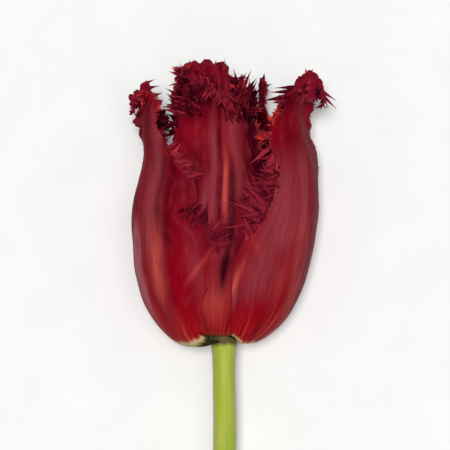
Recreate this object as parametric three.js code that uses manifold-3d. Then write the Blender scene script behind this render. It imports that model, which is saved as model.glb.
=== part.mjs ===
// A cut fringed tulip, lying on its side: three outer and three inner petals with fringed rims and
// recurved tips, a pistil and six stamens inside them, and a bowed stem that broadens into the receptacle.
// Millimetres, +Z up. The origin is the spot of the lowest petal that rests on the surface, and the
// flower's tip points along +Y. The bloom is modelled upright, with its axis on +Z and its front towards
// -Y, and is then laid on its back as one group.
import * as THREE from "three";
import { mergeVertices } from "three/addons/utils/BufferGeometryUtils.js";
import Module from "manifold-3d";

// ---- Driving dimensions ----
const PETAL_THICKNESS = 0.8;
const BELLY_RADIUS = 25.8; // from the axis to the middle of an outer petal's thickness, at the widest
const PRESSED_DEPTH = 1.2; // how far the lowest petal is pressed flat by the bloom's weight
const REST_HEIGHT = 37.5; // where on the axis the belly touches the surface, above the receptacle
const STEM_LENGTH = 150; // from the receptacle to the cut
const STEM_RADIUS = 3.1;
const STEM_CUT_RADIUS = 3.6;
const RECEPTACLE_RADIUS = 3.9;
const SEAT_GAP = 0.3; // between a piece and what carries it
const FRINGE_LENGTH = 4.6;
const CLING = 1.1; // how far an outer petal's lower rims bend in, onto the petals they cover

const AXIS_HEIGHT = BELLY_RADIUS + PETAL_THICKNESS / 2 - PRESSED_DEPTH;

const manifold = await Module();
manifold.setup();

// ---- Repeatable scatter ----
function seededRandom(seed) {
  let state = seed >>> 0;
  return () => {
    state = (state + 0x6d2b79f5) >>> 0;
    let t = Math.imul(state ^ (state >>> 15), 1 | state);
    t = (t + Math.imul(t ^ (t >>> 7), 61 | t)) ^ t;
    return ((t ^ (t >>> 14)) >>> 0) / 4294967296;
  };
}

function smoothstep(low, high, x) {
  return THREE.MathUtils.smoothstep(x, low, high);
}

function curveThrough(pairs) {
  return new THREE.SplineCurve(pairs.map(([x, y]) => new THREE.Vector2(x, y)));
}

// ---- Solids ----
function toSolid(geometry) {
  const bare = geometry.clone();
  bare.deleteAttribute("normal");
  bare.deleteAttribute("uv");
  const merged = mergeVertices(bare, 1e-4);
  return new manifold.Manifold(
    new manifold.Mesh({
      numProp: 3,
      vertProperties: merged.attributes.position.array,
      triVerts: new Uint32Array(merged.index.array),
    }),
  );
}

function toGeometry(solid) {
  const mesh = solid.getMesh();
  const geometry = new THREE.BufferGeometry();
  geometry.setAttribute("position", new THREE.BufferAttribute(mesh.vertProperties, 3));
  geometry.setIndex(new THREE.BufferAttribute(mesh.triVerts, 1));
  geometry.computeVertexNormals();
  return geometry;
}

// Joins closed pieces into one and keeps its outer skin, so pieces that cross leave no pocket inside.
function fuse(geometries) {
  const whole = geometries.map(toSolid).reduce((sum, piece) => sum.add(piece));
  const skins = whole.simplify(0.01).decompose();
  return toGeometry(skins.reduce((best, skin) => (skin.volume() > best.volume() ? skin : best)));
}

// ---- Petal forms ----
// A petal's length is drawn as the path of its midline, [distance from the axis, height], and its
// outline as half-widths to the left and to the right at the same stations, measured along the curved
// blade. The lower seven stations of a whorl are alike; each petal has its own neck and tip. The crown
// lowers both corners of the tip, the cant raises its left corner and lowers its right one, and fringe
// scales the teeth.
const FOOT_RADIUS = RECEPTACLE_RADIUS + SEAT_GAP + 0.1;
const OUTER_BELLY = [
  [FOOT_RADIUS, 2.8],
  [10.0, 1.3],
  [16.0, 5.1],
  [20.8, 11.8],
  [23.8, 20.0],
  [25.3, 28.6],
  [BELLY_RADIUS, REST_HEIGHT],
];
const INNER_BELLY = [
  [FOOT_RADIUS, 4.5],
  [9.0, 3.5],
  [14.0, 6.9],
  [18.5, 13.2],
  [21.2, 20.9],
  [22.6, 29.2],
  [23.0, 37.9],
];

const PETALS = [
  {
    name: "outer_petal_left",
    azimuth: -60,
    whorl: OUTER_BELLY,
    neck: [[24.4, 46.2], [22.8, 54.4], [22.9, 61.8], [23.5, 67.2], [24.4, 71.2], [26.2, 72.0], [27.4, 69.4]],
    left: [3.2, 8.2, 14.8, 20, 22.5, 24, 23.5, 21, 16.5, 11.3, 9.6, 7.5, 6, 3.4],
    right: [3.2, 6.5, 10.5, 16, 22, 24.5, 18.5, 16.5, 10.5, 4.2, 3.4, 3.6, 3.6, 2.6],
    flutes: { depth: 0.5, waves: 2.2, phase: 2.2 },
    crown: 2.5,
    cant: 0,
    crease: 0,
    recurved: true,
    splay: 1,
    fringe: 0.8,
    seed: 11,
  },
  {
    name: "outer_petal_right",
    azimuth: 60,
    whorl: OUTER_BELLY,
    neck: [[25.3, 46.4], [24.2, 55.0], [23.2, 63.0], [23.6, 69.2], [25.0, 74.0], [27.4, 75.4], [29.4, 72.0]],
    left: [3.2, 8.2, 14, 18.5, 21.8, 21.5, 16.5, 13.5, 13, 10, 6.6, 4.8, 4, 2.8],
    right: [3.2, 8.2, 14.8, 20, 22.5, 24, 23.5, 21, 17, 11, 8.4, 7, 5.6, 3.3],
    flutes: { depth: 0.4, waves: 2.0, phase: 0.4 },
    crown: 3,
    cant: 0,
    crease: 0,
    recurved: true,
    splay: 1,
    fringe: 1,
    seed: 23,
  },
  {
    name: "outer_petal_back",
    azimuth: 176,
    whorl: OUTER_BELLY,
    neck: [[25.4, 46.4], [24.1, 54.6], [22.4, 61.4], [21.3, 64.8], [20.4, 67.4], [19.7, 69.2], [19.2, 70.4]],
    left: [3.2, 8.2, 14.8, 20, 22.5, 24, 23.5, 20.5, 17, 13, 9.5, 8, 6, 3.5],
    right: [3.2, 8.2, 14.8, 20, 22.5, 24, 23.5, 20.5, 17, 13, 9.5, 8, 6, 3.5],
    flutes: { depth: 0.3, waves: 2.0, phase: 3.1 },
    crown: 1,
    cant: 0,
    crease: 0,
    recurved: false,
    splay: 0.3,
    fringe: 0.8,
    seed: 37,
  },
  {
    name: "inner_petal_front",
    azimuth: -1,
    whorl: INNER_BELLY,
    neck: [
      [22.2, 46.6],
      [20.0, 55.0],
      [19.2, 63.2],
      [19.9, 70.0],
      [21.4, 75.2],
      [24.6, 77.2],
      [27.8, 74.6],
      [28.9, 69.6],
    ],
    left: [3, 5.5, 9.5, 14, 18, 20, 19.5, 18, 16, 14.5, 14, 13, 11.5, 9.5, 6],
    right: [3, 5.5, 9.5, 14, 17, 17.5, 14.5, 11.5, 10, 9.5, 9, 5.4, 2.8, 2.2, 1.8],
    flutes: { depth: 0.25, waves: 2.5, phase: 0.6 },
    crown: 2.0,
    cant: 2.5,
    crease: 0.7,
    recurved: true,
    splay: -1,
    fringe: 1,
    seed: 41,
  },
  {
    name: "inner_petal_right",
    azimuth: 128,
    whorl: INNER_BELLY,
    neck: [[22.4, 46.6], [19.8, 54.8], [16.4, 61.4], [14.2, 66.0], [13.5, 70.0], [13.2, 73.0], [13.2, 75.4]],
    left: [3, 5.5, 9.5, 14, 18, 20, 20, 17, 12, 6, 3, 2.4, 2.2, 1.8],
    right: [3, 5.5, 9.5, 14, 18, 20, 20, 18, 15, 9, 5, 3.2, 2.5, 2],
    flutes: { depth: 0.25, waves: 2.5, phase: 1.8 },
    crown: 1.5,
    cant: 0,
    crease: 0.6,
    recurved: false,
    splay: -1,
    fringe: 0.7,
    seed: 53,
  },
  {
    name: "inner_petal_left",
    azimuth: -106,
    whorl: INNER_BELLY,
    neck: [[22.4, 46.6], [20.4, 54.0], [19.9, 58.6], [19.7, 61.2], [19.5, 63.2], [19.3, 64.8], [19.2, 66.0]],
    left: [3, 6, 10.5, 15.5, 20, 22, 19.5, 12.5, 6, 4.2, 4.2, 4.2, 3.5, 2.5],
    right: [3, 5.5, 9.5, 14, 17, 18, 17.5, 15, 12, 9.5, 8, 6.5, 5, 3],
    flutes: { depth: 0.25, waves: 2.5, phase: 4.4 },
    crown: 1.5,
    cant: 0,
    crease: 0.6,
    recurved: false,
    splay: -1,
    fringe: 0.55,
    seed: 67,
  },
];

// The bloom isn't quite straight. SWAY says how far it stands to the right of its axis at every 10 mm
// of height. The claws stay where they are rooted.
const SWAY = [-1.0, -0.8, -0.4, 0.3, 0.7, 1.1, 0.1, 0, 0];
const SWAY_STEP = 10;
const ROOTED = FOOT_RADIUS + 1; // a petal's claw doesn't sway nearer to the axis than this
const FREE = 12; // and sways fully farther out than this

function swayAt(height, radius) {
  const place = THREE.MathUtils.clamp(height / SWAY_STEP, 0, SWAY.length - 1);
  const below = Math.min(Math.floor(place), SWAY.length - 2);
  const shift = THREE.MathUtils.lerp(SWAY[below], SWAY[below + 1], smoothstep(0, 1, place - below));
  return shift * smoothstep(ROOTED, FREE, radius);
}

// Keeps a point of a petal above the surface the flower lies on, by the clearance given.
function pressUp(point, petal, clearance) {
  const turn = THREE.MathUtils.degToRad(petal.azimuth);
  const down = new THREE.Vector3(Math.sin(turn), Math.cos(turn), 0); // as this petal's own frame sees it
  const below = point.dot(down) - (AXIS_HEIGHT - clearance);
  return below > 0 ? point.addScaledVector(down, -below) : point;
}

// The middle surface of a petal that faces -Y: across runs from -1 at the left rim to 1 at the right,
// and along from 0 at the claw to 1 at the tip. Lengthwise flutes, a crease on the midline, a waved rim
// and a ruffled tip lift it off the smooth path, square to the path.
const CREASE_WIDTH = 1.6;
const SUPPLE_WIDTH = 15; // a narrower petal is too stiff to ruffle fully
const WAVE_PACE = 40;
const RUFFLE_PACE = 6.5;

function petalSurface(petal) {
  const path = curveThrough([...petal.whorl, ...petal.neck]);
  const outline = curveThrough(petal.left.map((half, k) => [half, petal.right[k]]));
  const clings = petal.whorl === OUTER_BELLY ? CLING : 0;
  const { depth, waves, phase } = petal.flutes;
  const turn = THREE.MathUtils.degToRad(petal.azimuth);
  return (across, along) => {
    const middle = path.getPoint(along);
    const heading = path.getTangent(along);
    const half = outline.getPoint(along);
    const offset = across * (across < 0 ? half.x : half.y);
    const body = smoothstep(0.05, 0.3, along);
    const tip = smoothstep(0.62, 0.9, along);
    const supple = Math.min(1, ((half.x + half.y) / SUPPLE_WIDTH) ** 2);
    const flute = depth * body * (1 - 0.6 * tip) * Math.cos(waves * Math.PI * across + phase);
    const fold = petal.crease * body * Math.exp(-((offset / CREASE_WIDTH) ** 2));
    const swing = body * supple * Math.abs(across) ** 3 * (0.4 + 0.9 * tip);
    const wave = swing * Math.sin(WAVE_PACE * along + 2.4 * across + phase);
    const ruffle = smoothstep(0.8, 1, along) * supple * Math.sin(RUFFLE_PACE * across + phase);
    const covering = smoothstep(0.02, 0.14, along) * (1 - smoothstep(0.42, 0.6, along));
    const bend = clings * covering * smoothstep(0.5, 0.98, Math.abs(across));
    const lift = flute - fold + wave + ruffle - bend;
    const reach = middle.x + lift * heading.y;
    const droop = petal.crown * across ** 2 + petal.cant * across;
    const height = middle.y - lift * heading.x - droop * tip;
    const angle = offset / Math.max(middle.x, 1);
    const point = new THREE.Vector3(reach * Math.sin(angle), -reach * Math.cos(angle), height);
    point.add(new THREE.Vector3(Math.cos(turn), -Math.sin(turn), 0).multiplyScalar(swayAt(height, reach)));
    return pressUp(point, petal, PETAL_THICKNESS / 2);
  };
}

function outwardNormal(surface, across, along) {
  const step = 1e-3;
  const right = surface(Math.min(across + step, 1), along).sub(surface(Math.max(across - step, -1), along));
  const up = surface(across, Math.min(along + step, 1)).sub(surface(across, Math.max(along - step, 0)));
  return right.cross(up).normalize();
}

// One petal as a closed blade: the same grid of triangles on both faces, and a rim that carries two
// teeth to each row of the grid where the petal is fringed.
const ROWS = 30;
const COLUMNS = 10;
const FRINGE_START = 0.36;

function petalBlade(petal) {
  const surface = petalSurface(petal);
  const random = seededRandom(petal.seed);
  const positions = [];
  const triangles = [];

  // Both faces of one place on the blade, as the indices of its outer and inner vertex.
  function place(across, along) {
    const point = surface(across, along);
    const half = outwardNormal(surface, across, along).multiplyScalar(PETAL_THICKNESS / 2);
    positions.push(point.clone().add(half), point.clone().sub(half));
    return [positions.length - 2, positions.length - 1];
  }
  function bothFaces(a, b, c) {
    triangles.push(a[0], b[0], c[0], a[1], c[1], b[1]);
  }

  const grid = [];
  for (let row = 0; row <= ROWS; row++) {
    grid.push([]);
    for (let column = 0; column <= COLUMNS; column++)
      grid[row].push(place((2 * column) / COLUMNS - 1, row / ROWS));
  }
  const rightRim = [];
  const leftRim = [];
  for (let row = 0; row < ROWS; row++) {
    const along = (row + 0.5) / ROWS;
    const fringed = row / ROWS >= FRINGE_START;
    const leftMiddle = fringed ? place(-1, along) : null;
    const rightMiddle = fringed ? place(1, along) : null;
    for (let column = 0; column < COLUMNS; column++) {
      const a = grid[row][column];
      const b = grid[row][column + 1];
      const c = grid[row + 1][column + 1];
      const d = grid[row + 1][column];
      if (fringed && column === 0) {
        bothFaces(a, b, c);
        bothFaces(c, d, leftMiddle);
        bothFaces(c, leftMiddle, a);
      } else if (fringed && column === COLUMNS - 1) {
        bothFaces(a, b, rightMiddle);
        bothFaces(a, rightMiddle, c);
        bothFaces(a, c, d);
      } else {
        bothFaces(a, b, c);
        bothFaces(a, c, d);
      }
    }
    const growth = fringed ? petal.fringe * (0.6 + 0.4 * smoothstep(FRINGE_START, 0.7, along)) : 0;
    const right = [grid[row][COLUMNS], ...(fringed ? [rightMiddle] : []), grid[row + 1][COLUMNS]];
    const left = [grid[row][0], ...(fringed ? [leftMiddle] : []), grid[row + 1][0]];
    for (let k = 1; k < right.length; k++) {
      rightRim.push({ from: right[k - 1], to: right[k], lean: 0.25, growth });
      leftRim.push({ from: left[k], to: left[k - 1], lean: -0.25, growth });
    }
  }

  // The rim, counter-clockwise as seen from outside the bloom. Teeth lean towards the tip along both
  // sides, and fan out across the crest.
  const claw = [];
  const crest = [];
  for (let column = 0; column < COLUMNS; column++) {
    const fan = 0.45 * (1 - (2 * column + 1) / COLUMNS);
    claw.push({ from: grid[0][column], to: grid[0][column + 1], lean: 0, growth: 0 });
    const growth = column % 2 ? 0 : petal.fringe;
    crest.push({ from: grid[ROWS][column + 1], to: grid[ROWS][column], lean: fan, growth });
  }
  for (const { from, to, lean, growth } of [...claw, ...rightRim, ...crest, ...leftRim]) {
    const [p, pInner] = from;
    const [q, qInner] = to;
    if (growth === 0) {
      triangles.push(q, p, pInner, q, pInner, qInner);
      continue;
    }
    const alongRim = positions[q].clone().sub(positions[p]).normalize();
    const outward = positions[p].clone().sub(positions[pInner]).normalize();
    const away = alongRim.clone().cross(outward).normalize();
    const length = FRINGE_LENGTH * growth * (0.55 + 0.65 * random());
    const lift = petal.splay * (0.05 + 0.4 * random());
    const tooth = [p, q, pInner, qInner]
      .reduce((sum, i) => sum.add(positions[i]), new THREE.Vector3())
      .multiplyScalar(0.25)
      .add(away.multiplyScalar(length))
      .add(outward.multiplyScalar(length * lift))
      .add(alongRim.multiplyScalar(length * lean * (0.8 + 0.4 * random())));
    positions.push(pressUp(tooth, petal, 0.8));
    const t = positions.length - 1;
    triangles.push(q, p, t, p, pInner, t, pInner, qInner, t, qInner, q, t);
  }

  const geometry = new THREE.BufferGeometry();
  const array = new Float32Array(positions.flatMap((v) => [v.x, v.y, v.z]));
  geometry.setAttribute("position", new THREE.BufferAttribute(array, 3));
  geometry.setIndex(triangles);
  return geometry;
}

// Three-sided needles that stand on the petal near its tip, their roots sunk into the blade. Each is
// given by the row and column of the blade's grid it grows from.
const NEEDLES = [22, 23, 24, 25, 26, 27, 28].flatMap((row) =>
  (row % 2 ? [1, COLUMNS - 1] : [2, COLUMNS - 2]).map((column) => ({ row, column })),
);
const CREST_NEEDLES = [25, 26, 27, 28, 29].flatMap((row) =>
  (row % 2 ? [3, 5, 7] : [4, 6]).map((column) => ({ row, column })),
);

function needlesOn(petal) {
  const surface = petalSurface(petal);
  const random = seededRandom(petal.seed * 7);
  const up = new THREE.Vector3(0, 1, 0);
  const sparse = NEEDLES.filter(({ row }) => row > 25 && row % 2 === 0);
  const places = petal.recurved ? [...NEEDLES, ...CREST_NEEDLES] : sparse;
  return places.map(({ row, column }) => {
    const across = (2 * column + 0.14 * random()) / COLUMNS - 1;
    const along = (row + 0.15 * random()) / ROWS;
    const root = surface(across, along);
    const face = petal.recurved && row <= 25 ? petal.splay : -1; // a rolled tip shows its inner face
    const outward = outwardNormal(surface, across, along).multiplyScalar(face);
    const sideways = surface(across * 1.1, along).sub(root).normalize();
    const tipwards = surface(across, along + 0.01).sub(root).normalize();
    const aim = outward
      .add(sideways.multiplyScalar(0.2 + 0.7 * random()))
      .add(tipwards.multiplyScalar(0.8 * random()))
      .normalize();
    const length = FRINGE_LENGTH * petal.fringe * (0.55 + 0.6 * random());
    const needle = new THREE.ConeGeometry(0.5, length, 3);
    needle.translate(0, length / 2 - 0.15, 0);
    needle.applyQuaternion(new THREE.Quaternion().setFromUnitVectors(up, aim));
    return needle.translate(root.x, root.y, root.z);
  });
}

function material(colour, roughness) {
  return new THREE.MeshStandardMaterial({ color: colour, roughness, metalness: 0 });
}

const petalMaterial = material(0x86202c, 0.5);
const stemMaterial = material(0x9aa84a, 0.45);
const pistilMaterial = material(0x8d9a52, 0.5);
const stamenMaterial = material(0x2a1a2c, 0.7);

function namedMesh(name, geometry, finish) {
  const mesh = new THREE.Mesh(geometry, finish);
  mesh.name = name;
  return mesh;
}

function makePetal(petal) {
  const mesh = namedMesh(petal.name, fuse([petalBlade(petal), ...needlesOn(petal)]), petalMaterial);
  mesh.rotation.z = THREE.MathUtils.degToRad(petal.azimuth);
  return mesh;
}

// ---- Pistil: a three-sided ovary under a stigma of three spread lobes ----
const OVARY_FOOT = 5.6; // height of the receptacle's top
const OVARY_TOP = 25;

function makePistil() {
  const ovary = new THREE.LatheGeometry(
    [
      [0, OVARY_FOOT + SEAT_GAP],
      [1.4, OVARY_FOOT + SEAT_GAP],
      [2.2, OVARY_FOOT + 3],
      [2.7, OVARY_FOOT + 9],
      [2.3, OVARY_TOP - 3],
      [1.7, OVARY_TOP],
      [0, OVARY_TOP + 0.6],
    ].map(([x, y]) => new THREE.Vector2(x, y)),
    12,
  );
  ovary.rotateX(Math.PI / 2);
  const place = ovary.getAttribute("position");
  for (let i = 0; i < place.count; i++) {
    const angle = Math.atan2(place.getY(i), place.getX(i));
    const swell = 1 + 0.14 * Math.cos(3 * angle);
    place.setXY(i, place.getX(i) * swell, place.getY(i) * swell);
  }
  const lobes = [0, 1, 2].map((k) => {
    const lobe = new THREE.SphereGeometry(2.1, 8, 6);
    lobe.scale(1.35, 0.6, 0.62);
    lobe.translate(2.0, 0, OVARY_TOP + 0.5);
    return lobe.rotateZ((k * 2 * Math.PI) / 3);
  });
  return namedMesh("pistil", fuse([ovary.toNonIndexed(), ...lobes]), pistilMaterial);
}

// ---- Stamens: a tapered filament with a long anther on its end ----
const STAMENS = 6;
const STAMEN_CIRCLE = 2.75;
const FILAMENT_LENGTH = 8.5;
const ANTHER_LENGTH = 13;
const STAMEN_FOOT = OVARY_FOOT + SEAT_GAP + 0.15;
const STAMEN_LEAN = THREE.MathUtils.degToRad(14);

function makeStamen(k) {
  const filament = new THREE.CylinderGeometry(0.45, 0.55, FILAMENT_LENGTH, 6);
  filament.rotateX(Math.PI / 2).translate(0, 0, FILAMENT_LENGTH / 2);
  const anther = new THREE.SphereGeometry(1, 8, 8);
  anther.scale(1.5, 1.1, ANTHER_LENGTH / 2);
  anther.translate(0, 0, FILAMENT_LENGTH + ANTHER_LENGTH / 2 - 1);
  const mesh = namedMesh(`stamen_${k + 1}`, fuse([filament, anther]), stamenMaterial);
  const seat = new THREE.Group();
  seat.rotation.z = ((k + 0.5) * 2 * Math.PI) / STAMENS;
  mesh.position.set(0, -STAMEN_CIRCLE, STAMEN_FOOT);
  mesh.rotation.x = STAMEN_LEAN;
  seat.add(mesh);
  return seat;
}

// ---- Stem and receptacle: a turned profile, bent along the bowed line of the stem ----
function makeStem() {
  const route = new THREE.CatmullRomCurve3([
    new THREE.Vector3(0, OVARY_FOOT, AXIS_HEIGHT),
    new THREE.Vector3(0, -6, AXIS_HEIGHT),
    new THREE.Vector3(0.2, -30, AXIS_HEIGHT - 0.7),
    new THREE.Vector3(-1.5, -58, AXIS_HEIGHT - 5.5),
    new THREE.Vector3(-4.5, -88, AXIS_HEIGHT - 14),
    new THREE.Vector3(-8.5, -116, STEM_CUT_RADIUS + 2.6),
    new THREE.Vector3(-12, -136, STEM_CUT_RADIUS + 0.15),
    new THREE.Vector3(-14, -STEM_LENGTH, STEM_CUT_RADIUS),
  ]);
  const top = OVARY_FOOT;
  const profile = [
    [0, top],
    [3.3, top],
    [3.75, top - 0.6],
    [RECEPTACLE_RADIUS, 3.6],
    [RECEPTACLE_RADIUS, 1.4],
    [3.5, -0.6],
    [3.25, -3],
    [STEM_RADIUS, -8],
  ];
  const steps = 14;
  for (let k = 1; k <= steps; k++) {
    const share = k / steps;
    const radius = THREE.MathUtils.lerp(STEM_RADIUS, STEM_CUT_RADIUS, share ** 0.6);
    profile.push([radius, THREE.MathUtils.lerp(-8, -STEM_LENGTH, share)]);
  }
  profile.push([0, -STEM_LENGTH]);
  const geometry = new THREE.LatheGeometry(
    profile.reverse().map(([x, y]) => new THREE.Vector2(x, y)),
    14,
  ).toNonIndexed();
  const reach = Math.min(1, (top + STEM_LENGTH) / route.getLength());
  const place = geometry.getAttribute("position");
  const up = new THREE.Vector3(0, 0, 1);
  for (let i = 0; i < place.count; i++) {
    const [across, height, depth] = [place.getX(i), place.getY(i), place.getZ(i)];
    const share = THREE.MathUtils.clamp((top - height) / (top + STEM_LENGTH), 0, 1);
    const centre = route.getPointAt(share * reach);
    const heading = route.getTangentAt(share * reach);
    const side = up.clone().cross(heading).normalize();
    const above = heading.clone().cross(side).normalize();
    const point = centre.add(side.multiplyScalar(across)).add(above.multiplyScalar(depth));
    place.setXYZ(i, point.x, point.y, Math.max(point.z, 0));
  }
  return namedMesh("stem", toGeometry(toSolid(geometry)), stemMaterial);
}

// ---- The whole flower ----
const bloom = new THREE.Group();
PETALS.forEach((petal) => bloom.add(makePetal(petal)));
bloom.add(makePistil());
for (let k = 0; k < STAMENS; k++) bloom.add(makeStamen(k));
bloom.rotation.x = -Math.PI / 2;
bloom.position.z = AXIS_HEIGHT;

const tulip = new THREE.Group();
tulip.add(bloom, makeStem());
tulip.position.y = -REST_HEIGHT;

export default tulip;
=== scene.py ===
# %% [markdown]
# # A cut fringed tulip
# The flower lies on its side on a table: six thick petals in two layers, each with a ragged fringe
# and three with a tip that rolls open, a pistil and six stamens hidden inside, and a bare bowed
# stem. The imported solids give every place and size. This lesson dresses them: it grows a finer skin
# for each petal from the same curves as the solid, plants the fringe frond by frond, and then paints
# veins and colour on.

# %% Load the frame
import math
import random

import bmesh
import bpy
from mathutils import Matrix, Vector, noise


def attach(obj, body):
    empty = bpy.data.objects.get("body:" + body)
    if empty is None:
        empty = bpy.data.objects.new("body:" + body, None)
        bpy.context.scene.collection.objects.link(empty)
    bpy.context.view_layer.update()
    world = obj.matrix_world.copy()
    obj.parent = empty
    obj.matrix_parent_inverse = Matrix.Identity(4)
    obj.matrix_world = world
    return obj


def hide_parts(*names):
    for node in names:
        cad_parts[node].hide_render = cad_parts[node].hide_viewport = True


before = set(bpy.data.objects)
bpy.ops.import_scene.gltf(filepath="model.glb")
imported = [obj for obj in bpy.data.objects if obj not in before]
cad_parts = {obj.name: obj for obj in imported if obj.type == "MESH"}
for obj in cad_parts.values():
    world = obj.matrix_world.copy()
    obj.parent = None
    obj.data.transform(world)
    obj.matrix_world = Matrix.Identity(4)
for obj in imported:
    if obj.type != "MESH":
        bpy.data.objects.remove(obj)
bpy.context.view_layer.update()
print("solids:", sorted(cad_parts))

# %% [markdown]
# ## The camera
# A flower that lies down is looked at from straight above, with its tip towards the top of the
# picture. A long lens from far away keeps the near petals from looking larger than the far ones, so
# the outline stays true to its size.

# %% Camera
MM = 0.001
PICTURE_WIDTH = 126 * MM  # what the picture takes in, at the height of the flower's axis
VIEW_CENTRE = Vector((0.3 * MM, -3.6 * MM, 25 * MM))
LENS = 300
FARTHEST_SEEN = 10  # metres


def add_camera():
    camera = bpy.data.objects.new("camera", bpy.data.cameras.new("camera"))
    camera.data.lens = LENS
    distance = PICTURE_WIDTH * LENS / camera.data.sensor_width
    camera.location = VIEW_CENTRE + Vector((0, 0, distance))
    camera.data.clip_end = FARTHEST_SEEN
    bpy.context.scene.collection.objects.link(camera)
    bpy.context.scene.camera = camera
    return distance


print("camera height above the axis in m:", round(add_camera(), 3))

# %% [markdown]
# ## Curves to measure along
# Each petal is drawn as a path, seen from the side, and a half-width on either hand. A smooth curve
# through a few stations is easier to shape than hundreds of points. This one passes through every
# station and takes its slope from the two neighbours.

# %% A smooth curve through stations
A_LITTLE = 1e-4  # of the curve's length, to either side, when its direction is measured


def cubic_between(b, c, slope_in, slope_out, w):
    """From b to c as w goes from 0 to 1, leaving and arriving with the given slopes."""
    cubic = 2 * b - 2 * c + slope_in + slope_out
    square = -3 * b + 3 * c - 2 * slope_in - slope_out
    return ((cubic * w + square) * w + slope_in) * w + b


def along_curve(stations, t):
    reach = (len(stations) - 1) * t
    i = min(int(reach), len(stations) - 1)
    before = stations[max(i - 1, 0)]
    here = stations[i]
    after = stations[min(i + 1, len(stations) - 1)]
    beyond = stations[min(i + 2, len(stations) - 1)]
    return [
        cubic_between(b, c, (c - a) / 2, (d - b) / 2, reach - i)
        for a, b, c, d in zip(before, here, after, beyond)
    ]


def heading_along(stations, t):
    x0, y0 = along_curve(stations, max(t - A_LITTLE, 0))
    x1, y1 = along_curve(stations, min(t + A_LITTLE, 1))
    size = math.hypot(x1 - x0, y1 - y0)
    return (x1 - x0) / size, (y1 - y0) / size


def smoothstep(low, high, x):
    """0 below low, 1 above high, and an even, soft rise between them."""
    x = min(max((x - low) / (high - low), 0), 1)
    return x * x * (3 - 2 * x)


print("halfway along a bow:", along_curve([(0, 0), (1, 1), (2, 0)], 0.5))

# %% [markdown]
# ## The six petals in numbers
# A tulip has two whorls of three. The outer three start lower and stand wider. The lower part of a
# whorl is alike, and each petal has its own neck and tip, because the front ones roll open and the
# back ones stay upright or lean in. Distances are in millimetres: first from the axis, then up it.
# The half-widths at the same stations follow, to the left and to the right. The rest is one petal's
# character, and what it leaves out it has from PLAIN:
# - azimuth: which way it faces round the axis, in degrees, 0 for the front
# - flutes: how deep, how many and how far shifted its lengthwise waves are
# - crown and cant: how far the tip's corners hang below its middle, and how much lower the right one is
# - crease: how deep the fold on the midline is
# - flare: how far the left rim rolls out just below the tip
# - sag: how far the foot hangs down beside the stem
# - crumple: how strongly the torn rim and the tip are folded
# - claw: how much further up the pale claw reaches, as a share of the petal's length
# - splay: 1 where the fringe stands off the outer face, and -1 where it leans in
# - fringe, rims and crest: how long its teeth and fronds are, and what share of that its left rim, its
#   right rim and its crest keep
# - the fronds' tone: how brightly they are painted, from 0, nearly black in painted shade, to 1,
#   orange in painted light
# - rolled: whether the tip rolls open
# - seed: where its random draws start

# %% Petal stations
THICKNESS = 0.8
AXIS_HEIGHT = 25.0  # of the flower's axis above the table
REST_HEIGHT = 37.5  # where along the axis the belly touches the table

OUTER_BELLY = [(4.3, 2.8), (10, 1.3), (16, 5.1), (20.8, 11.8), (23.6, 20), (25.1, 28.6), (25.8, 37.5)]
INNER_BELLY = [(4.3, 4.5), (9, 3.5), (14, 6.9), (18.5, 13.2), (21.2, 20.9), (22.6, 29.2), (23, 37.9)]
OUTER_HALF = [3.2, 8.2, 14.8, 20, 22.5, 24, 23.5]
INNER_HALF = [3, 5.5, 9.5, 14]

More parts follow.
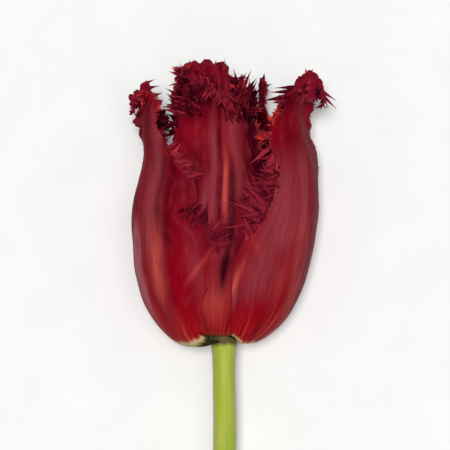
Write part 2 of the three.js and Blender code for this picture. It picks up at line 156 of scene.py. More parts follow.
# what a petal is like where its own entry doesn't say otherwise
PLAIN = dict(cant=0, crease=0, flare=0, sag=0, crumple=1, claw=0)
OWN = {
    "outer_petal_left": dict(
        azimuth=-60, whorl=OUTER_BELLY,
        neck=[
            (24.4, 46.2), (22.8, 54.4), (22.9, 61.8), (23.5, 67.2),
            (24.4, 70.6), (26.2, 71.2), (27.4, 68.8),
        ],
        left=OUTER_HALF + [21, 16.5, 11.3, 9.6, 7.5, 6, 3.4],
        right=[3.2, 6.1, 10, 16, 22, 24.5, 18.5, 16, 6.5, 2.2, 1.5, 1.5, 1.9, 1.8],
        flutes=(0.5, 2.2, 2.2), crown=2.5, cant=-1.8, flare=1.4, sag=1.4, claw=0.014,
        splay=1, fringe=0.8, rims=(0.3, 0.38), crest=0.4, tone=0.5, rolled=True, seed=11,
    ),
    "outer_petal_right": dict(
        azimuth=60, whorl=OUTER_BELLY,
        neck=[(25.3, 46.4), (24.2, 55), (23.2, 63), (23.6, 69.2), (25, 74), (27.4, 75.2), (29.3, 70.8)],
        left=[3.2, 6.8, 13.2, 18.5, 21.8, 21.5, 16.5, 13.5, 13, 10.6, 6.8, 3.2, 2.3, 2],
        right=OUTER_HALF + [21, 17, 11, 8.4, 7, 5.6, 3.3],
        flutes=(0.4, 2, 0.4), crown=3, claw=0.008,
        splay=1, fringe=1, rims=(0.7, 0.35), crest=0.6, tone=0.38, rolled=True, seed=23,
    ),
    "outer_petal_back": dict(
        azimuth=176, whorl=OUTER_BELLY,
        neck=[
            (25.4, 46.4), (24.1, 54.6), (22.4, 61.4), (21.3, 64.8),
            (20.4, 67.4), (19.7, 69.2), (19.2, 70.4),
        ],
        left=OUTER_HALF + [20.5, 17, 13, 9.5, 8, 6, 3.5],
        right=OUTER_HALF + [20.5, 17, 13, 9.5, 8, 6, 3.5],
        flutes=(0.3, 2, 3.1), crown=1,
        splay=0.3, fringe=0.8, rims=(0.7, 0.7), crest=0.8, tone=0.15, rolled=False, seed=37,
    ),
    "inner_petal_front": dict(
        azimuth=-1, whorl=INNER_BELLY,
        neck=[
            (22.2, 46.6), (20, 55), (19.2, 63.2), (19.9, 70),
            (21.4, 75.2), (24.6, 77.2), (27.8, 74.6), (28.9, 69.6),
        ],
        left=INNER_HALF + [18, 20, 19.5, 18, 16, 14.5, 14, 13, 11.5, 9.5, 6],
        right=INNER_HALF + [17, 17.5, 14.5, 11.5, 10, 9.5, 8.4, 3.4, 2, 1.6, 1.4],
        flutes=(0.25, 2.5, 0.6), crown=2, cant=2.5, crease=0.7,
        splay=-1, fringe=1, rims=(0.6, 0.7), crest=0.55, tone=0.5, rolled=True, seed=41,
    ),
    "inner_petal_right": dict(
        azimuth=124.5, whorl=INNER_BELLY,
        neck=[
            (22.4, 46.6), (19.8, 54.8), (16.2, 61.4), (13.5, 66),
            (13.3, 70), (13.3, 73), (13.4, 75.4),
        ],
        left=INNER_HALF + [18, 20, 20, 17, 12, 4, 2.2, 2, 2, 1.7],
        right=INNER_HALF + [18, 20, 20, 18, 15, 7, 2, 0.9, 0.7, 0.6],
        flutes=(0.25, 2.5, 1.8), crown=1.5, crease=0.6, crumple=0.25,
        splay=-1, fringe=0.4, rims=(0.3, 0.05), crest=0.2, tone=0.08, rolled=False, seed=53,
    ),
    "inner_petal_left": dict(
        azimuth=-106, whorl=INNER_BELLY,
        neck=[
            (22.4, 46.6), (20.4, 54), (19.9, 58.6), (19.7, 61.2),
            (19.5, 63.2), (19.3, 64.8), (19.2, 66),
        ],
        left=[3, 6, 10.5, 15.5, 20, 22, 19.5, 12.5, 6, 4.2, 4.2, 4.2, 3.5, 2.5],
        right=INNER_HALF + [17, 18, 17.5, 15, 12, 9.5, 8, 6.5, 5, 3],
        flutes=(0.25, 2.5, 4.4), crown=1.5, crease=0.6,
        splay=-1, fringe=0.55, rims=(0.8, 0.8), crest=0.9, tone=0.12, rolled=False, seed=67,
    ),
}
PETALS = {name: PLAIN | own for name, own in OWN.items()}
for form in PETALS.values():
    form["path"] = form["whorl"] + form["neck"]
    form["halves"] = list(zip(form["left"], form["right"]))
print(len(PETALS), "petals")

# %% [markdown]
# ## From the curves to a place in space
# A point on a petal is given by `across`, from -1 at the left rim to 1 at the right, and `along`, from
# 0 at the claw to 1 at the tip. The blade is bent round the flower's axis, and then lifted off its
# smooth path by flutes, a crease on the midline, a waved rim and a ruffled tip. A real rim is also
# torn into uneven teeth and crumpled between them, so the last few millimetres get a jagged reach and
# folds of their own. The lowest petal is pressed flat where it rests, so no point goes under the table.

# %% The petal's surface
SWAY = (-1.7, -0.9, -0.4, 0.3, 0.7, 1.1, 0.1, 0, 0)  # how far the bloom stands to the right, by height
SWAY_STEP = 10
ROOTED, FREE = 5.3, 12  # from no sway at this distance from the axis to full sway at that one
CLING = 1.95  # how far an outer petal's lower rims bend in, onto the petals they cover
CREASE_WIDTH = 1.6
SUPPLE_WIDTH = 15  # a blade narrower than this ruffles less
WHOLE_BELOW = 0.3  # the share of a rim, from the claw up, that isn't torn
TIP_SPAN = (0.62, 0.9)  # the share of its length where a petal's neck turns into its tip


def to_table(x, y, z):
    """Lays a point of the upright bloom down, its front up and its tip along +Y, in metres."""
    return Vector((x, z - REST_HEIGHT, AXIS_HEIGHT - y)) * MM


def sway_at(height, radius):
    place = min(max(height / SWAY_STEP, 0), len(SWAY) - 1)
    below = min(int(place), len(SWAY) - 2)
    shift = SWAY[below] + (SWAY[below + 1] - SWAY[below]) * smoothstep(0, 1, place - below)
    return shift * smoothstep(ROOTED, FREE, radius)


def own_noise(petal, x, y, shift=0):
    """Smooth noise from -1 to 1 that is different on every petal."""
    return noise.noise(Vector((x, y, petal["seed"] + shift)))


def torn(petal, side, along):
    """How far the rim reaches past the smooth outline, in mm: uneven teeth, longer towards the tip."""
    growth = smoothstep(WHOLE_BELOW, 0.62, along)
    if growth == 0:
        return 0
    length = along * 100
    tooth = abs(own_noise(petal, length * 0.8, side * 7.3))
    fine = abs(own_noise(petal, length * 2.3, side * 3.7, 5))
    longest = 3.4 + 2 * smoothstep(0.7, 0.9, along)
    at_rim = petal["rims"][side > 0]
    at_tip = min(petal["crest"] + 0.35, 1)
    raggedness = petal["fringe"] * (at_rim + (at_tip - at_rim) * smoothstep(0.72, 0.8, along))
    return growth * raggedness * (longest * tooth + 1.8 * fine - 0.8)


def crumpled(petal, across, offset, along):
    """Folds that only the torn rim and the tip have, in mm."""
    tip = smoothstep(0.74, 0.94, along)
    edge = abs(across) ** 3 * smoothstep(0.35, 0.7, along)
    folds = 0.8 * tip * math.sin(15 * across + 2 * petal["flutes"][2] + 3 * math.sin(24 * along))
    broad = own_noise(petal, offset * 0.3, along * 24)
    small = own_noise(petal, offset * 0.9, along * 70, 3)
    return folds + (1.9 * broad + 0.9 * small) * min(edge + tip, 1)


def unrolled(petal, across, along):
    """On the smooth path: distance from the axis, height, offset from the midline and width, in mm."""
    radius, height = along_curve(petal["path"], along)
    left, right = along_curve(petal["halves"], along)
    return radius, height, across * (left if across < 0 else right), left + right


def lifted(petal, across, along, offset, width):
    """How far the blade stands off its smooth path, in mm."""
    depth, waves, phase = petal["flutes"]
    body = smoothstep(0.05, 0.3, along)
    tip = smoothstep(*TIP_SPAN, along)
    supple = min(1, (width / SUPPLE_WIDTH) ** 2)
    edge = abs(across) ** 3
    lift = depth * body * (1 - 0.6 * tip) * math.cos(waves * math.pi * across + phase)
    lift -= petal["crease"] * body * math.exp(-((offset / CREASE_WIDTH) ** 2))
    lift += body * supple * edge * (0.4 + 0.9 * tip) * math.sin(40 * along + 2.4 * across + phase)
    lift += smoothstep(0.8, 1, along) * supple * math.sin(6.5 * across + phase)
    lift += petal["crumple"] * crumpled(petal, across, offset, along)
    if petal["whorl"] is OUTER_BELLY:
        covering = smoothstep(0, 0.07, along) * (1 - smoothstep(0.42, 0.6, along))
        lift -= CLING * covering * smoothstep(0.5, 0.98, abs(across))
    rolling = smoothstep(0.65, 0.72, along) * (1 - smoothstep(0.74, 0.84, along))
    return lift + petal["flare"] * rolling * smoothstep(0.3, 1, -across)


def petal_point(petal, across, along):
    radius, height, offset, width = unrolled(petal, across, along)
    ahead_out, ahead_up = heading_along(petal["path"], along)
    lift = lifted(petal, across, along, offset, width)
    side = -1 if across < 0 else 1
    offset += side * smoothstep(0.84, 1, abs(across)) * torn(petal, side, along)
    tip = smoothstep(*TIP_SPAN, along)
    out = radius + lift * ahead_up
    up = height - lift * ahead_out - (petal["crown"] * across**2 + petal["cant"] * across) * tip
    up -= petal["sag"] * (1 - smoothstep(0, 0.16, along))
    grown = smoothstep(0.93, 1, along) * torn(petal, 3, 0.62 + 0.2 * across)
    out += grown * ahead_out
    up += grown * ahead_up
    angle = offset / max(radius, 1) + math.radians(petal["azimuth"])
    x = out * math.sin(angle) + sway_at(up, out)
    y = -out * math.cos(angle)
    return to_table(x, min(y, AXIS_HEIGHT - THICKNESS / 2), up)


def along_at(petal, height):
    """Where on the rising part of a petal a height is reached."""
    low, high = 0.08, 0.78
    for _ in range(20):
        middle = (low + high) / 2
        if along_curve(petal["path"], middle)[1] < height:
            low = middle
        else:
            high = middle
    return (low + high) / 2


front_tip = petal_point(PETALS["inner_petal_front"], 0, 1)
print("tip of the front petal in mm:", [round(v * 1000, 1) for v in front_tip])

# %% [markdown]
# ## Where the colours lie
# Seen close, a petal is not evenly red. The ridges are painted a greyish pink, a sheen of light
# on their waxy bloom, painted light glows orange on some ridges and through thin places, the
# grooves are a deep wet crimson, and folds and overlaps are painted nearly black with shade.
# All of these run lengthwise, like the meridians of a globe. So each petal gets a short list of bands
# for each of these four masks: the meridian in degrees (0 is the front of the flower), how wide in
# degrees, from which height to which in mm, and how strong. A few run aslant, over a fold: a sixth
# number says how many degrees they move for each mm of height.

# %% Bands of colour
MASKS = ("painted_sheen", "glow", "deep", "shade")
BANDS = {
    "outer_petal_left": {
        "painted_sheen": [
            (-71, 4.5, 2, 32, 3.2), (-57, 8, 25, 64, 0.42), (-45, 5, 16, 34, 0.25),
            (-17, 5, 17, 26, 0.4, -0.45), (-37, 1.8, 2, 9, 1.5),
        ],
        "glow": [
            (-27, 1.8, 17, 27, 0.9, 1.7), (-49, 6.5, 13, 34, 1.2), (-50, 5, 38, 56, 0.25),
            (-14, 6, 3, 12, 0.8),
        ],
        "deep": [(-11, 3, 14, 25, 1), (-38, 4, 12, 56, 0.6), (-31, 9, 4, 28, 1.2), (-63, 4, 0, 26, 0.4)],
        "shade": [
            (-8, 7, 28, 35, 1.1), (-34, 6, 40, 52, 0.4), (-14, 1.5, 12, 22, 0.5, 1.2),
            (-38, 4, 27, 60, 0.75), (-29, 5, 43, 53, 0.7), (-23, 3.5, 43, 52, 0.8), (-40, 5, 50, 60, 0.7),
            (-46, 4, 31, 62, 0.65), (-66, 8, 53, 68, 0.6), (-84, 8, 0, 60, 0.4),
        ],
    },
    "outer_petal_right": {
        "painted_sheen": [
            (38, 13, 27, 50, 0.48), (54, 5, 30, 54, 0.5), (27, 12, 12, 36, 0.36), (9, 4, 10, 18, 0.6),
            (60, 8, 8, 34, 0.35),
        ],
        "glow": [
            (4.5, 2, 12, 22, 1.2, 0.9), (54, 6, 14, 36, 0.45), (22, 1.6, 27, 34, 0.7, -1.2),
            (60, 4, 6, 20, 0.7), (45, 7, 12, 26, 0.35),
        ],
        "deep": [
            (18, 6, 25, 36, 0.8), (49, 4, 2, 18, 1.2), (32, 10, 0, 13, 1.3), (63, 3, 28, 52, 0.6),
            (44, 30, 56, 70, 0.6),
        ],
        "shade": [(50, 8, 54, 64, 0.4), (8, 4, 27, 36, 0.9), (46, 18, 66, 73, 1), (78, 8, 0, 60, 0.35)],
    },
    "inner_petal_front": {
        "painted_sheen": [
            (-10, 3, 34, 62, 0.45), (-15, 2.5, 28, 46, 0.6), (-24, 10, 36, 60, 0.1), (7, 5, 40, 66, 0.35),
            (-1, 7, 19, 34, 0.2),
        ],
        "glow": [(-1.3, 2.4, 38, 53, 1.5), (-1, 1.6, 56, 68, 0.15), (-6, 12, 4, 17, 0.9)],
        "deep": [(-26, 10, 44, 66, 0.6)],
        "shade": [
            (-25, 9, 40, 54, 1), (15, 5, 42, 56, 0.9), (-4.8, 1.2, 34, 76, 1.3),
            (-0.2, 3.6, 17, 30, 1.4, 0.4), (4.4, 2.6, 27, 50, 1.3), (6, 5, 22, 34, 0.8),
            (26, 9, 42, 82, 2), (-26, 18, 64, 76, 1.3),
        ],
    },
    "outer_petal_back": {
        "painted_sheen": [(176, 14, 10, 56, 0.5)],
        "deep": [(150, 6, 0, 50, 0.8), (200, 6, 0, 50, 0.8)],
    },
    "inner_petal_right": {
        "painted_sheen": [(118, 8, 20, 50, 0.5)],
        "deep": [(134, 6, 4, 60, 0.8)],
        "shade": [(122, 40, 60, 90, 1.2)],
    },
    "inner_petal_left": {
        "painted_sheen": [(-98, 8, 20, 60, 0.5)],
        "deep": [(-114, 6, 4, 60, 0.8)],
    },
}


def band_strength(name, mask, meridian, height):
    """The strongest of a petal's bands at a place. Their lines wander a little and fade at both ends."""
    strongest = 0
    for centre, width, low, high, strength, *slant in BANDS[name].get(mask, ()):
        wander = 2.2 * noise.noise(Vector((height * 0.06, centre, 0))) + sum(slant) * (height - low)
        away = (meridian - centre - wander + 180) % 360 - 180
        fade = smoothstep(low - 5, low + 5, height) * (1 - smoothstep(high - 7, high + 7, height))
        strongest = max(strongest, strength * fade * math.exp(-((away / width) ** 2)))
    return strongest


rib_glow = band_strength("inner_petal_front", "glow", -1.2, 50)
print("glow in the middle of the front petal:", round(rib_glow, 2))

# %% [markdown]
# ## The blade
# A petal could be sculpted from a ball or cut from a plane. A flat grid is the better start here,
# because its rows and columns are the veins and cross-lines of the petal: every vertex is moved to its
# place by the surface above. Then a second face is grown under the first, so the blade is a closed
# body, and it is thinned towards the rim, as a real petal is. Where it is on the petal, and how strong
# each mask is there, is kept at every vertex for the paint.

# %% One blade
COLUMNS = 64
ROWS = 190
KEPT = ("across", "along", "rise", "fringe", "tone", "inside")


def petal_layers(bm):
    layers = bm.verts.layers.float
    return {name: layers.get(name) or layers.new(name) for name in KEPT + MASKS}


def keep(v, layer, **values):
    """Writes numbers into a vertex, under the names that the paint reads."""
    for name, value in values.items():
        v[layer[name]] = value


def grow_blade(name, petal):
    bm = bmesh.new()
    layer = petal_layers(bm)
    bmesh.ops.create_grid(bm, x_segments=COLUMNS, y_segments=ROWS, size=1)
    for v in bm.verts:
        # columns gather towards the rims, where the teeth are
        across = math.sin(v.co.x * math.pi / 2) * 0.45 + v.co.x * 0.55
        along = (v.co.y + 1) / 2
        v.co = petal_point(petal, across, along)
        radius, height, offset, _ = unrolled(petal, across, along)
        meridian = petal["azimuth"] + math.degrees(offset / max(radius, 1))
        rim = max(smoothstep(0.86, 1, abs(across)), smoothstep(0.95, 1, along))
        fringe = 0.5 * rim * smoothstep(WHOLE_BELOW, 0.6, along)
        # the rim's teeth get a random place between painted shade and painted light, as the fronds do
        tone = 0.5 + 0.5 * noise.noise(v.co * 180)
        keep(v, layer, across=across, along=along, rise=height, fringe=fringe, tone=tone)
        keep(v, layer, **{mask: band_strength(name, mask, meridian, height) for mask in MASKS})
    bm.normal_update()

    def grid_place(v):
        return round(v[layer["across"]], 5), round(v[layer["along"]], 5)

    middle = {grid_place(v): (v.co.copy(), v.normal.copy()) for v in bm.verts}
    bmesh.ops.solidify(bm, geom=bm.faces[:], thickness=0.1 * MM)
    for v in bm.verts:
        co, normal = middle[grid_place(v)]
        outer = (v.co - co).dot(normal) > -1e-6
        near_rim = max(abs(v[layer["across"]]), smoothstep(0.8, 1, v[layer["along"]]))
        half = THICKNESS / 2 * (1 - 0.55 * smoothstep(0.7, 1, near_rim)) * MM
        v[layer["inside"]] = 0 if outer else 1
        v.co = co + normal * (half if outer else -half)
    bmesh.ops.recalc_face_normals(bm, faces=bm.faces[:])
    return bm


trial = grow_blade("outer_petal_left", PETALS["outer_petal_left"])
print("one blade:", len(trial.verts), "vertices,", len(trial.faces), "faces")
trial.free()

# %% [markdown]
# ## The fringe
# The fringe of such a tulip is made of stiff fronds: each is a flattened, pointed and bent spike, broad
# where it leaves the rim, often with a barb or two. Hair strands would look right but vanish on export,
# so every spike is real mesh. One small cone is made once and copied to each place, with its root sunk
# in the blade. It needs few sides, because there are over a thousand of them.

# %% One spike
def make_spike(sides, joints):
    bm = bmesh.new()
    bmesh.ops.create_cone(bm, cap_ends=True, segments=sides, radius1=1, radius2=0.05, depth=1)
    bmesh.ops.translate(bm, verts=bm.verts[:], vec=(0, 0, 0.5))
    shafts = [e for e in bm.edges if abs(e.verts[0].co.z - e.verts[1].co.z) > 0.5]
    bmesh.ops.subdivide_edges(bm, edges=shafts, cuts=joints - 1, use_grid_fill=True)
    for v in bm.verts:
        # fuller than a cone up to half its length, then drawn out to a point
        swell = 1 + 0.75 * math.sin(math.pi * min(v.co.z * 1.15, 1)) ** 1.5
        v.co.x *= swell
        v.co.y *= swell
    mesh = bpy.data.meshes.new("spike")
    bm.to_mesh(mesh)
    bm.free()
    return mesh


spike = make_spike(6, 5)
print("one spike:", len(spike.polygons), "faces")

# %% Plant one spike
FLATNESS = 0.4  # a frond's thickness, as a share of its width
OFF_THE_TABLE = 0.3 * MM  # nothing of the fringe comes lower
ABOVE_THE_FOOT = 60  # the height in mm that a frond is painted for, so the foot's red never reaches it


def plant(bm, spot, root, aim, bend, length, width, tone, curl):
    """Adds a spike that starts at root, points along aim and curls towards bend."""
    layer = petal_layers(bm)
    first = len(bm.verts)
    bm.from_mesh(spike)
    bm.verts.ensure_lookup_table()
    aim = aim.normalized()
    flat = aim.cross(bend).normalized()
    thin = flat.cross(aim).normalized()
    for v in bm.verts[first:]:
        t = v.co.z
        side = flat * v.co.x * width
        face = thin * v.co.y * width * FLATNESS
        bow = thin * (curl * length * t * t)
        v.co = root + aim * (length * (t - 0.12 * curl * t * t)) + bow + side + face
        v.co.z = max(v.co.z, OFF_THE_TABLE)
        keep(v, layer, across=spot[0], along=spot[1], rise=ABOVE_THE_FOOT, tone=tone)
        keep(v, layer, fringe=0.35 + 0.65 * t)


def plant_frond(bm, rng, spot, root, aim, bend, length, width, lightness):
    """A spike, and on some of them one or two barbs that leave it halfway up."""
    # painted light and shade: the petal's lightness, brighter clumps where light shines through the
    # fringe, and a random spread
    tone = min(max(lightness + 0.7 * noise.noise(root * 170) + rng.gauss(0, 0.2), 0), 1)
    aim = aim.normalized()
    start = root - aim * 0.35 * MM
    plant(bm, spot, start, aim, bend, length, width, tone, rng.uniform(0.05, 0.5))
    for _ in range(rng.choice((0, 0, 1, 2))):
        side = aim.cross(bend).normalized() * rng.choice((-1, 1))
        barb = start + aim * length * rng.uniform(0.25, 0.55)
        away = aim + side * rng.uniform(0.5, 1.1)
        barb_length = length * rng.uniform(0.3, 0.5)
        plant(bm, spot, barb, away, bend, barb_length, width * 0.6, tone, 0.25)


def axes_at(petal, across, along):
    """The place on the blade, and the ways out over the rim, towards the tip and off the outer face."""
    inner = min(max(across, -0.985), 0.985)
    here = petal_point(petal, across, along)
    outwards = petal_point(petal, inner + 0.012, along) - petal_point(petal, inner - 0.012, along)
    before = petal_point(petal, across, max(along - 0.005, 0))
    tipwards = petal_point(petal, across, min(along + 0.005, 1)) - before
    normal = outwards.cross(tipwards).normalized()
    return here, outwards.normalized(), tipwards.normalized(), normal


off_the_face = axes_at(PETALS["inner_petal_front"], 0, 0.5)[3]
print("the way off the front petal's face:", [round(v, 2) for v in off_the_face])

# %% [markdown]
# Where do the fronds stand? Along both rims, in clumps that share a root, thin at the middle of the
# petal and dense near the tip, then all across the crest, and scattered on the face of the tip, which
# makes it look like a brush. The scatter is drawn from a fixed seed, so that the flower grows the same
# each time.

# %% Rims, crest and tip
RIM_CLUMPS = 64
FACE_FRONDS = 36


def frond_size(rng, petal, along):
    """Length and half-width in metres: short halfway up the petal, longest round the tip."""
    grown = petal["fringe"] * (0.6 + 0.4 * smoothstep(0.4, 0.72, along))
    length = 5.4 * grown * (0.3 + 0.7 * rng.random() ** 1.4)
    return length * MM, rng.uniform(0.26, 0.5) * (0.6 + 0.1 * length) * MM


def plant_rim(bm, petal, rng):
    for k in range(RIM_CLUMPS):
        side = 1 if k % 2 else -1
        centre = 0.33 + 0.66 * ((k + 0.5) / RIM_CLUMPS) ** 0.8 + 0.008 * rng.gauss(0, 1)
        at_rim = petal["rims"][k % 2]
        reach = at_rim + (petal["crest"] + 0.1 - at_rim) * smoothstep(0.66, 0.78, centre)
        reach *= smoothstep(0.33, 0.43, centre)
        lean = rng.uniform(-0.3, 0.8)
        lift = petal["splay"] * rng.uniform(0.0, 0.4) * (1 + smoothstep(0.66, 0.74, centre))
        fronds = rng.choice((2, 3, 3, 4, 5))
        for j in range(fronds):
            fan = j - (fronds - 1) / 2
            along = min(max(centre + 0.0035 * fan, WHOLE_BELOW), 0.995)
            across = side * (1 - 0.05 * rng.random())
            root, out, tipwards, normal = axes_at(petal, across, along)
            aim = out * side + tipwards * (lean + 0.3 * fan + rng.gauss(0, 0.12))
            aim += normal * (lift + rng.gauss(0, 0.18))
            length, width = frond_size(rng, petal, along)
            bend = normal * rng.choice((-1, 1, 1)) + tipwards * rng.uniform(-0.5, 1)
            length *= reach * (1.15 - 0.12 * abs(fan))
            plant_frond(bm, rng, (across, along), root, aim, bend, length, width, petal["tone"])


def plant_crest(bm, petal, rng):
    count = 34 if petal["rolled"] else 16
    for k in range(count):
        across = -0.97 + 1.94 * (k + rng.random()) / count
        root, out, tipwards, normal = axes_at(petal, across, 0.992 - 0.02 * rng.random())
        aim = tipwards + out * across * rng.uniform(0.3, 1.0) + normal * rng.gauss(0, 0.45)
        length, width = frond_size(rng, petal, 1)
        bend = normal * rng.choice((-1, 1)) + out * rng.uniform(-0.6, 0.6)
        length *= petal["crest"]
        plant_frond(bm, rng, (across, 1), root, aim, bend, length, width, petal["tone"])


def plant_face(bm, petal, rng):
    for _ in range(FACE_FRONDS):
        along = 1 - 0.26 * rng.random() ** (1.3 if petal["rolled"] else 2)
        side = rng.choice((-1, 1))
        across = side * (rng.uniform(0.0, 0.97) if along > 0.85 else rng.uniform(0.7, 0.97))
        root, out, tipwards, normal = axes_at(petal, across, min(along, 0.985))
        face = -1 if along > 0.83 or not petal["rolled"] else petal["splay"]
        aim = normal * face * rng.uniform(0.4, 1) + out * side * rng.uniform(0, 1)
        aim += tipwards * rng.uniform(-0.3, 1)
        length, width = frond_size(rng, petal, along)
        bend = tipwards * rng.uniform(-1, 1) + out * rng.uniform(-0.8, 0.8)
        length *= 0.7 * petal["crest"]
        plant_frond(bm, rng, (across, along), root, aim, bend, length, width, petal["tone"])


trial_size = frond_size(random.Random(1), PETALS["inner_petal_front"], 1)
print("a frond of the crest in mm, length and half-width:", [round(v * 1000, 1) for v in trial_size])

# %% [markdown]
# Some places have a look of their own, and they give a flower its face. Three short lists plant them
# one by one. A tuft stands on a rim: its side (-1 left, 1 right), its height in mm, how far it spreads,
# how many fronds, how long, which way it sweeps (1 to the tip, -1 to the claw) and how bright it is. A
# frill covers a patch of the blade: from where to where across and along, how many fronds, how long,
# the way they point on the table at its left and at its right end, and their darkest and brightest
# tone. A third tone says how much darker they get towards the right end. The longest single fronds are
# given by where they grow, where they point, how long they are and how bright.

# %% Tufts, frills and long fronds
# The last number of a tuft and of a long frond, and a frill's darkest and brightest tone, say how
# brightly the fronds are painted: low for painted shade, high for painted light.
TUFTS = {
    "outer_petal_left": [
        (1, 29, 1.5, 10, 6, 0.6, 0.3), (1, 31, 2, 22, 7.5, 0.6, 0.45), (1, 32, 3, 14, 6.5, 0.5, 0.3),
        (1, 35, 2, 8, 4, 0.5, 0.45), (1, 51, 4, 50, 5.2, 0.2, 0.6), (1, 52, 3, 16, 4.6, 0, 0.66),
        (1, 58, 2.4, 12, 3, 0.5, 0.3),
    ],
    "outer_petal_right": [
        (-1, 31, 1.5, 6, 6, 1.2, 0.6), (-1, 34, 2, 14, 6.5, 0.8, 0.5), (-1, 37.5, 3, 26, 11.5, 0.75, 0.6),
        (-1, 38, 3.5, 26, 9, 0.6, 0.25), (-1, 42, 2.5, 24, 9, 0, 0.4), (-1, 46.5, 2, 20, 8, 0, 0.5),
        (-1, 51.5, 1.6, 6, 8.5, -0.9, 0.8), (-1, 58.8, 1, 9, 4.5, 0, 0.88),
        (-1, 64.5, 3.2, 44, 2.7, 0.5, 0.86), (-1, 61.5, 1.5, 12, 3, 0, 0.25),
    ],
    "inner_petal_front": [
        (1, 50, 8, 14, 3.5, 0.4, 0.1), (-1, 64, 5, 34, 4.6, 0.5, 0.15),
    ],
}
FRILLS = {
    "inner_petal_front": [
        ((-0.85, -0.3), (0.94, 1), 44, 4.8, (-0.9, -0.6, 0.5), (-0.3, -1, 0.4), (0.1, 0.75)),
        ((-0.35, 0.9), (0.94, 1), 40, 5.6, (-0.1, -1, 0.4), (0.5, -0.7, 0.5), (0.3, 0.88)),
        ((-0.97, -0.4), (0.65, 0.75), 80, 4.2, (-1, 0.2, 0.6), (-0.6, 0.3, 0.7), (0, 0.8)),
        ((-0.95, 0.5), (0.8, 0.96), 70, 3.2, (-1, 0.1, 0.6), (0.8, 0.1, 0.6), (0, 1)),
        ((-0.7, -0.4), (0.93, 0.99), 12, 4, (-0.2, -1, 0.6), (0, -1, 0.5), (0.85, 1)),
        ((-0.95, -0.8), (0.8, 0.88), 8, 2.5, (-0.4, 0.3, 0.8), (0.2, 0.3, 0.8), (0.9, 1)),
        ((-0.95, -0.5), (0.74, 0.82), 40, 3.5, (-0.8, 0, 0.8), (-0.5, -0.3, 0.8), (0, 0.35)),
        ((0.75, 0.98), (0.735, 0.765), 12, 5.2, (0.2, 1, 0.2), (0.5, 1, 0.1), (0.1, 0.8, 0.3)),
        ((0.1, 0.97), (0.63, 0.72), 80, 6, (0.1, 0.6, 0.8), (0.3, 1, 0.4), (0.12, 0.5, 0.6)),
        ((0.05, 0.9), (0.64, 0.72), 34, 6.5, (0.1, 0.6, 0.8), (0.3, 1, 0.5), (0.5, 0.8, 0.6)),
    ],
    "outer_petal_left": [
        ((0.74, 0.98), (0.42, 0.465), 14, 5.5, (0.7, 0.7, 0.5), (1, 0.5, 0.4), (0.2, 0.6)),
        ((-0.5, 0.8), (0.84, 0.97), 16, 1.8, (-0.5, 0.5, 0.6), (0.8, -0.4, 0.6), (0.3, 0.85)),
        ((-0.9, -0.5), (0.66, 0.77), 16, 2.4, (-1, -0.1, 0.4), (-0.7, 0.2, 0.4), (0, 0.5)),
    ],
    "outer_petal_right": [
        ((-0.98, -0.8), (0.5, 0.57), 24, 5, (-1, 0.1, 0.4), (-0.8, 0.4, 0.5), (0.2, 0.7)),
        ((-0.8, 0.9), (0.84, 0.99), 34, 2.6, (-0.6, 0.6, 0.6), (0.8, -0.6, 0.6), (0.1, 0.9)),
    ],
}
LONG_FRONDS = {
    "outer_petal_left": [
        (0.5, 0.9, (1, 0.2, 0.2), 4.6, 0.3), (0.4, 0.91, (1, 0.4, 0.2), 4.2, 0.5),
        (0.3, 0.92, (1, 0.35, 0.2), 3.6, 0.5), (0.9, 0.82, (1, 0.35, 0.1), 3.2, 0.3),
        (0.9, 0.79, (1, 0, 0.1), 2.6, 0.4), (0.2, 0.9, (0.1, 1, 0.1), 2, 0.5),
        (0.4, 0.9, (0.4, 1, 0.1), 2, 0.4),
    ],
    "outer_petal_right": [
        (-0.4, 0.815, (-1, 0, 0.25), 7, 0.15), (-0.5, 0.8, (-1, -0.08, 0.25), 8, 0.15),
        (-0.6, 0.78, (-1, -0.2, 0.2), 8.5, 0.1), (-0.7, 0.76, (-1, -0.1, 0.2), 5, 0.3),
        (-0.97, 0.614, (-1, -0.8, 0.3), 8, 0.8), (-0.97, 0.555, (-1, 0.1, 0.3), 6, 0.8),
        (-0.97, 0.54, (-1, 0, 0.3), 7.5, 0.75), (-0.97, 0.53, (-1, -0.1, 0.3), 6.5, 0.8),
        (-0.95, 0.55, (0.1, 1, 0.4), 4.5, 0.95), (0.6, 0.96, (1, -0.6, 0.1), 7.4, 0.4),
        (0.6, 0.965, (1, -0.95, 0.1), 8.6, 0.45), (0.65, 0.97, (1, -0.8, 0.1), 5.5, 0.5),
        (0.5, 0.98, (0.6, -1, 0.2), 6, 0.4), (-0.2, 0.9, (-0.2, 1, 0.1), 2.4, 0.9),
        (0.3, 0.9, (0.5, 1, 0.1), 2.4, 0.7),
    ],
    "inner_petal_right": [
        (-0.4, 0.99, (0.1, 1, 0.1), 2.4, 0.05), (-0.6, 0.93, (0.9, 0.3, 0.2), 3.4, 0),
        (-0.6, 0.95, (0.5, -0.3, 0.2), 2.4, 0),
    ],
    "inner_petal_front": [
        (0.85, 0.745, (0.45, 1, 0.1), 6.6, 0.35), (0.8, 0.75, (0.4, 1, 0.2), 5.6, 0.5),
        (0.7, 0.735, (0.1, 1, 0.1), 4.8, 0.2), (0.95, 0.73, (0.6, 1, -0.1), 5, 0.1),
    ],
}


def toned(rng, low, high):
    return min(max(rng.uniform(low, high) + rng.gauss(0, 0.08), 0), 1)


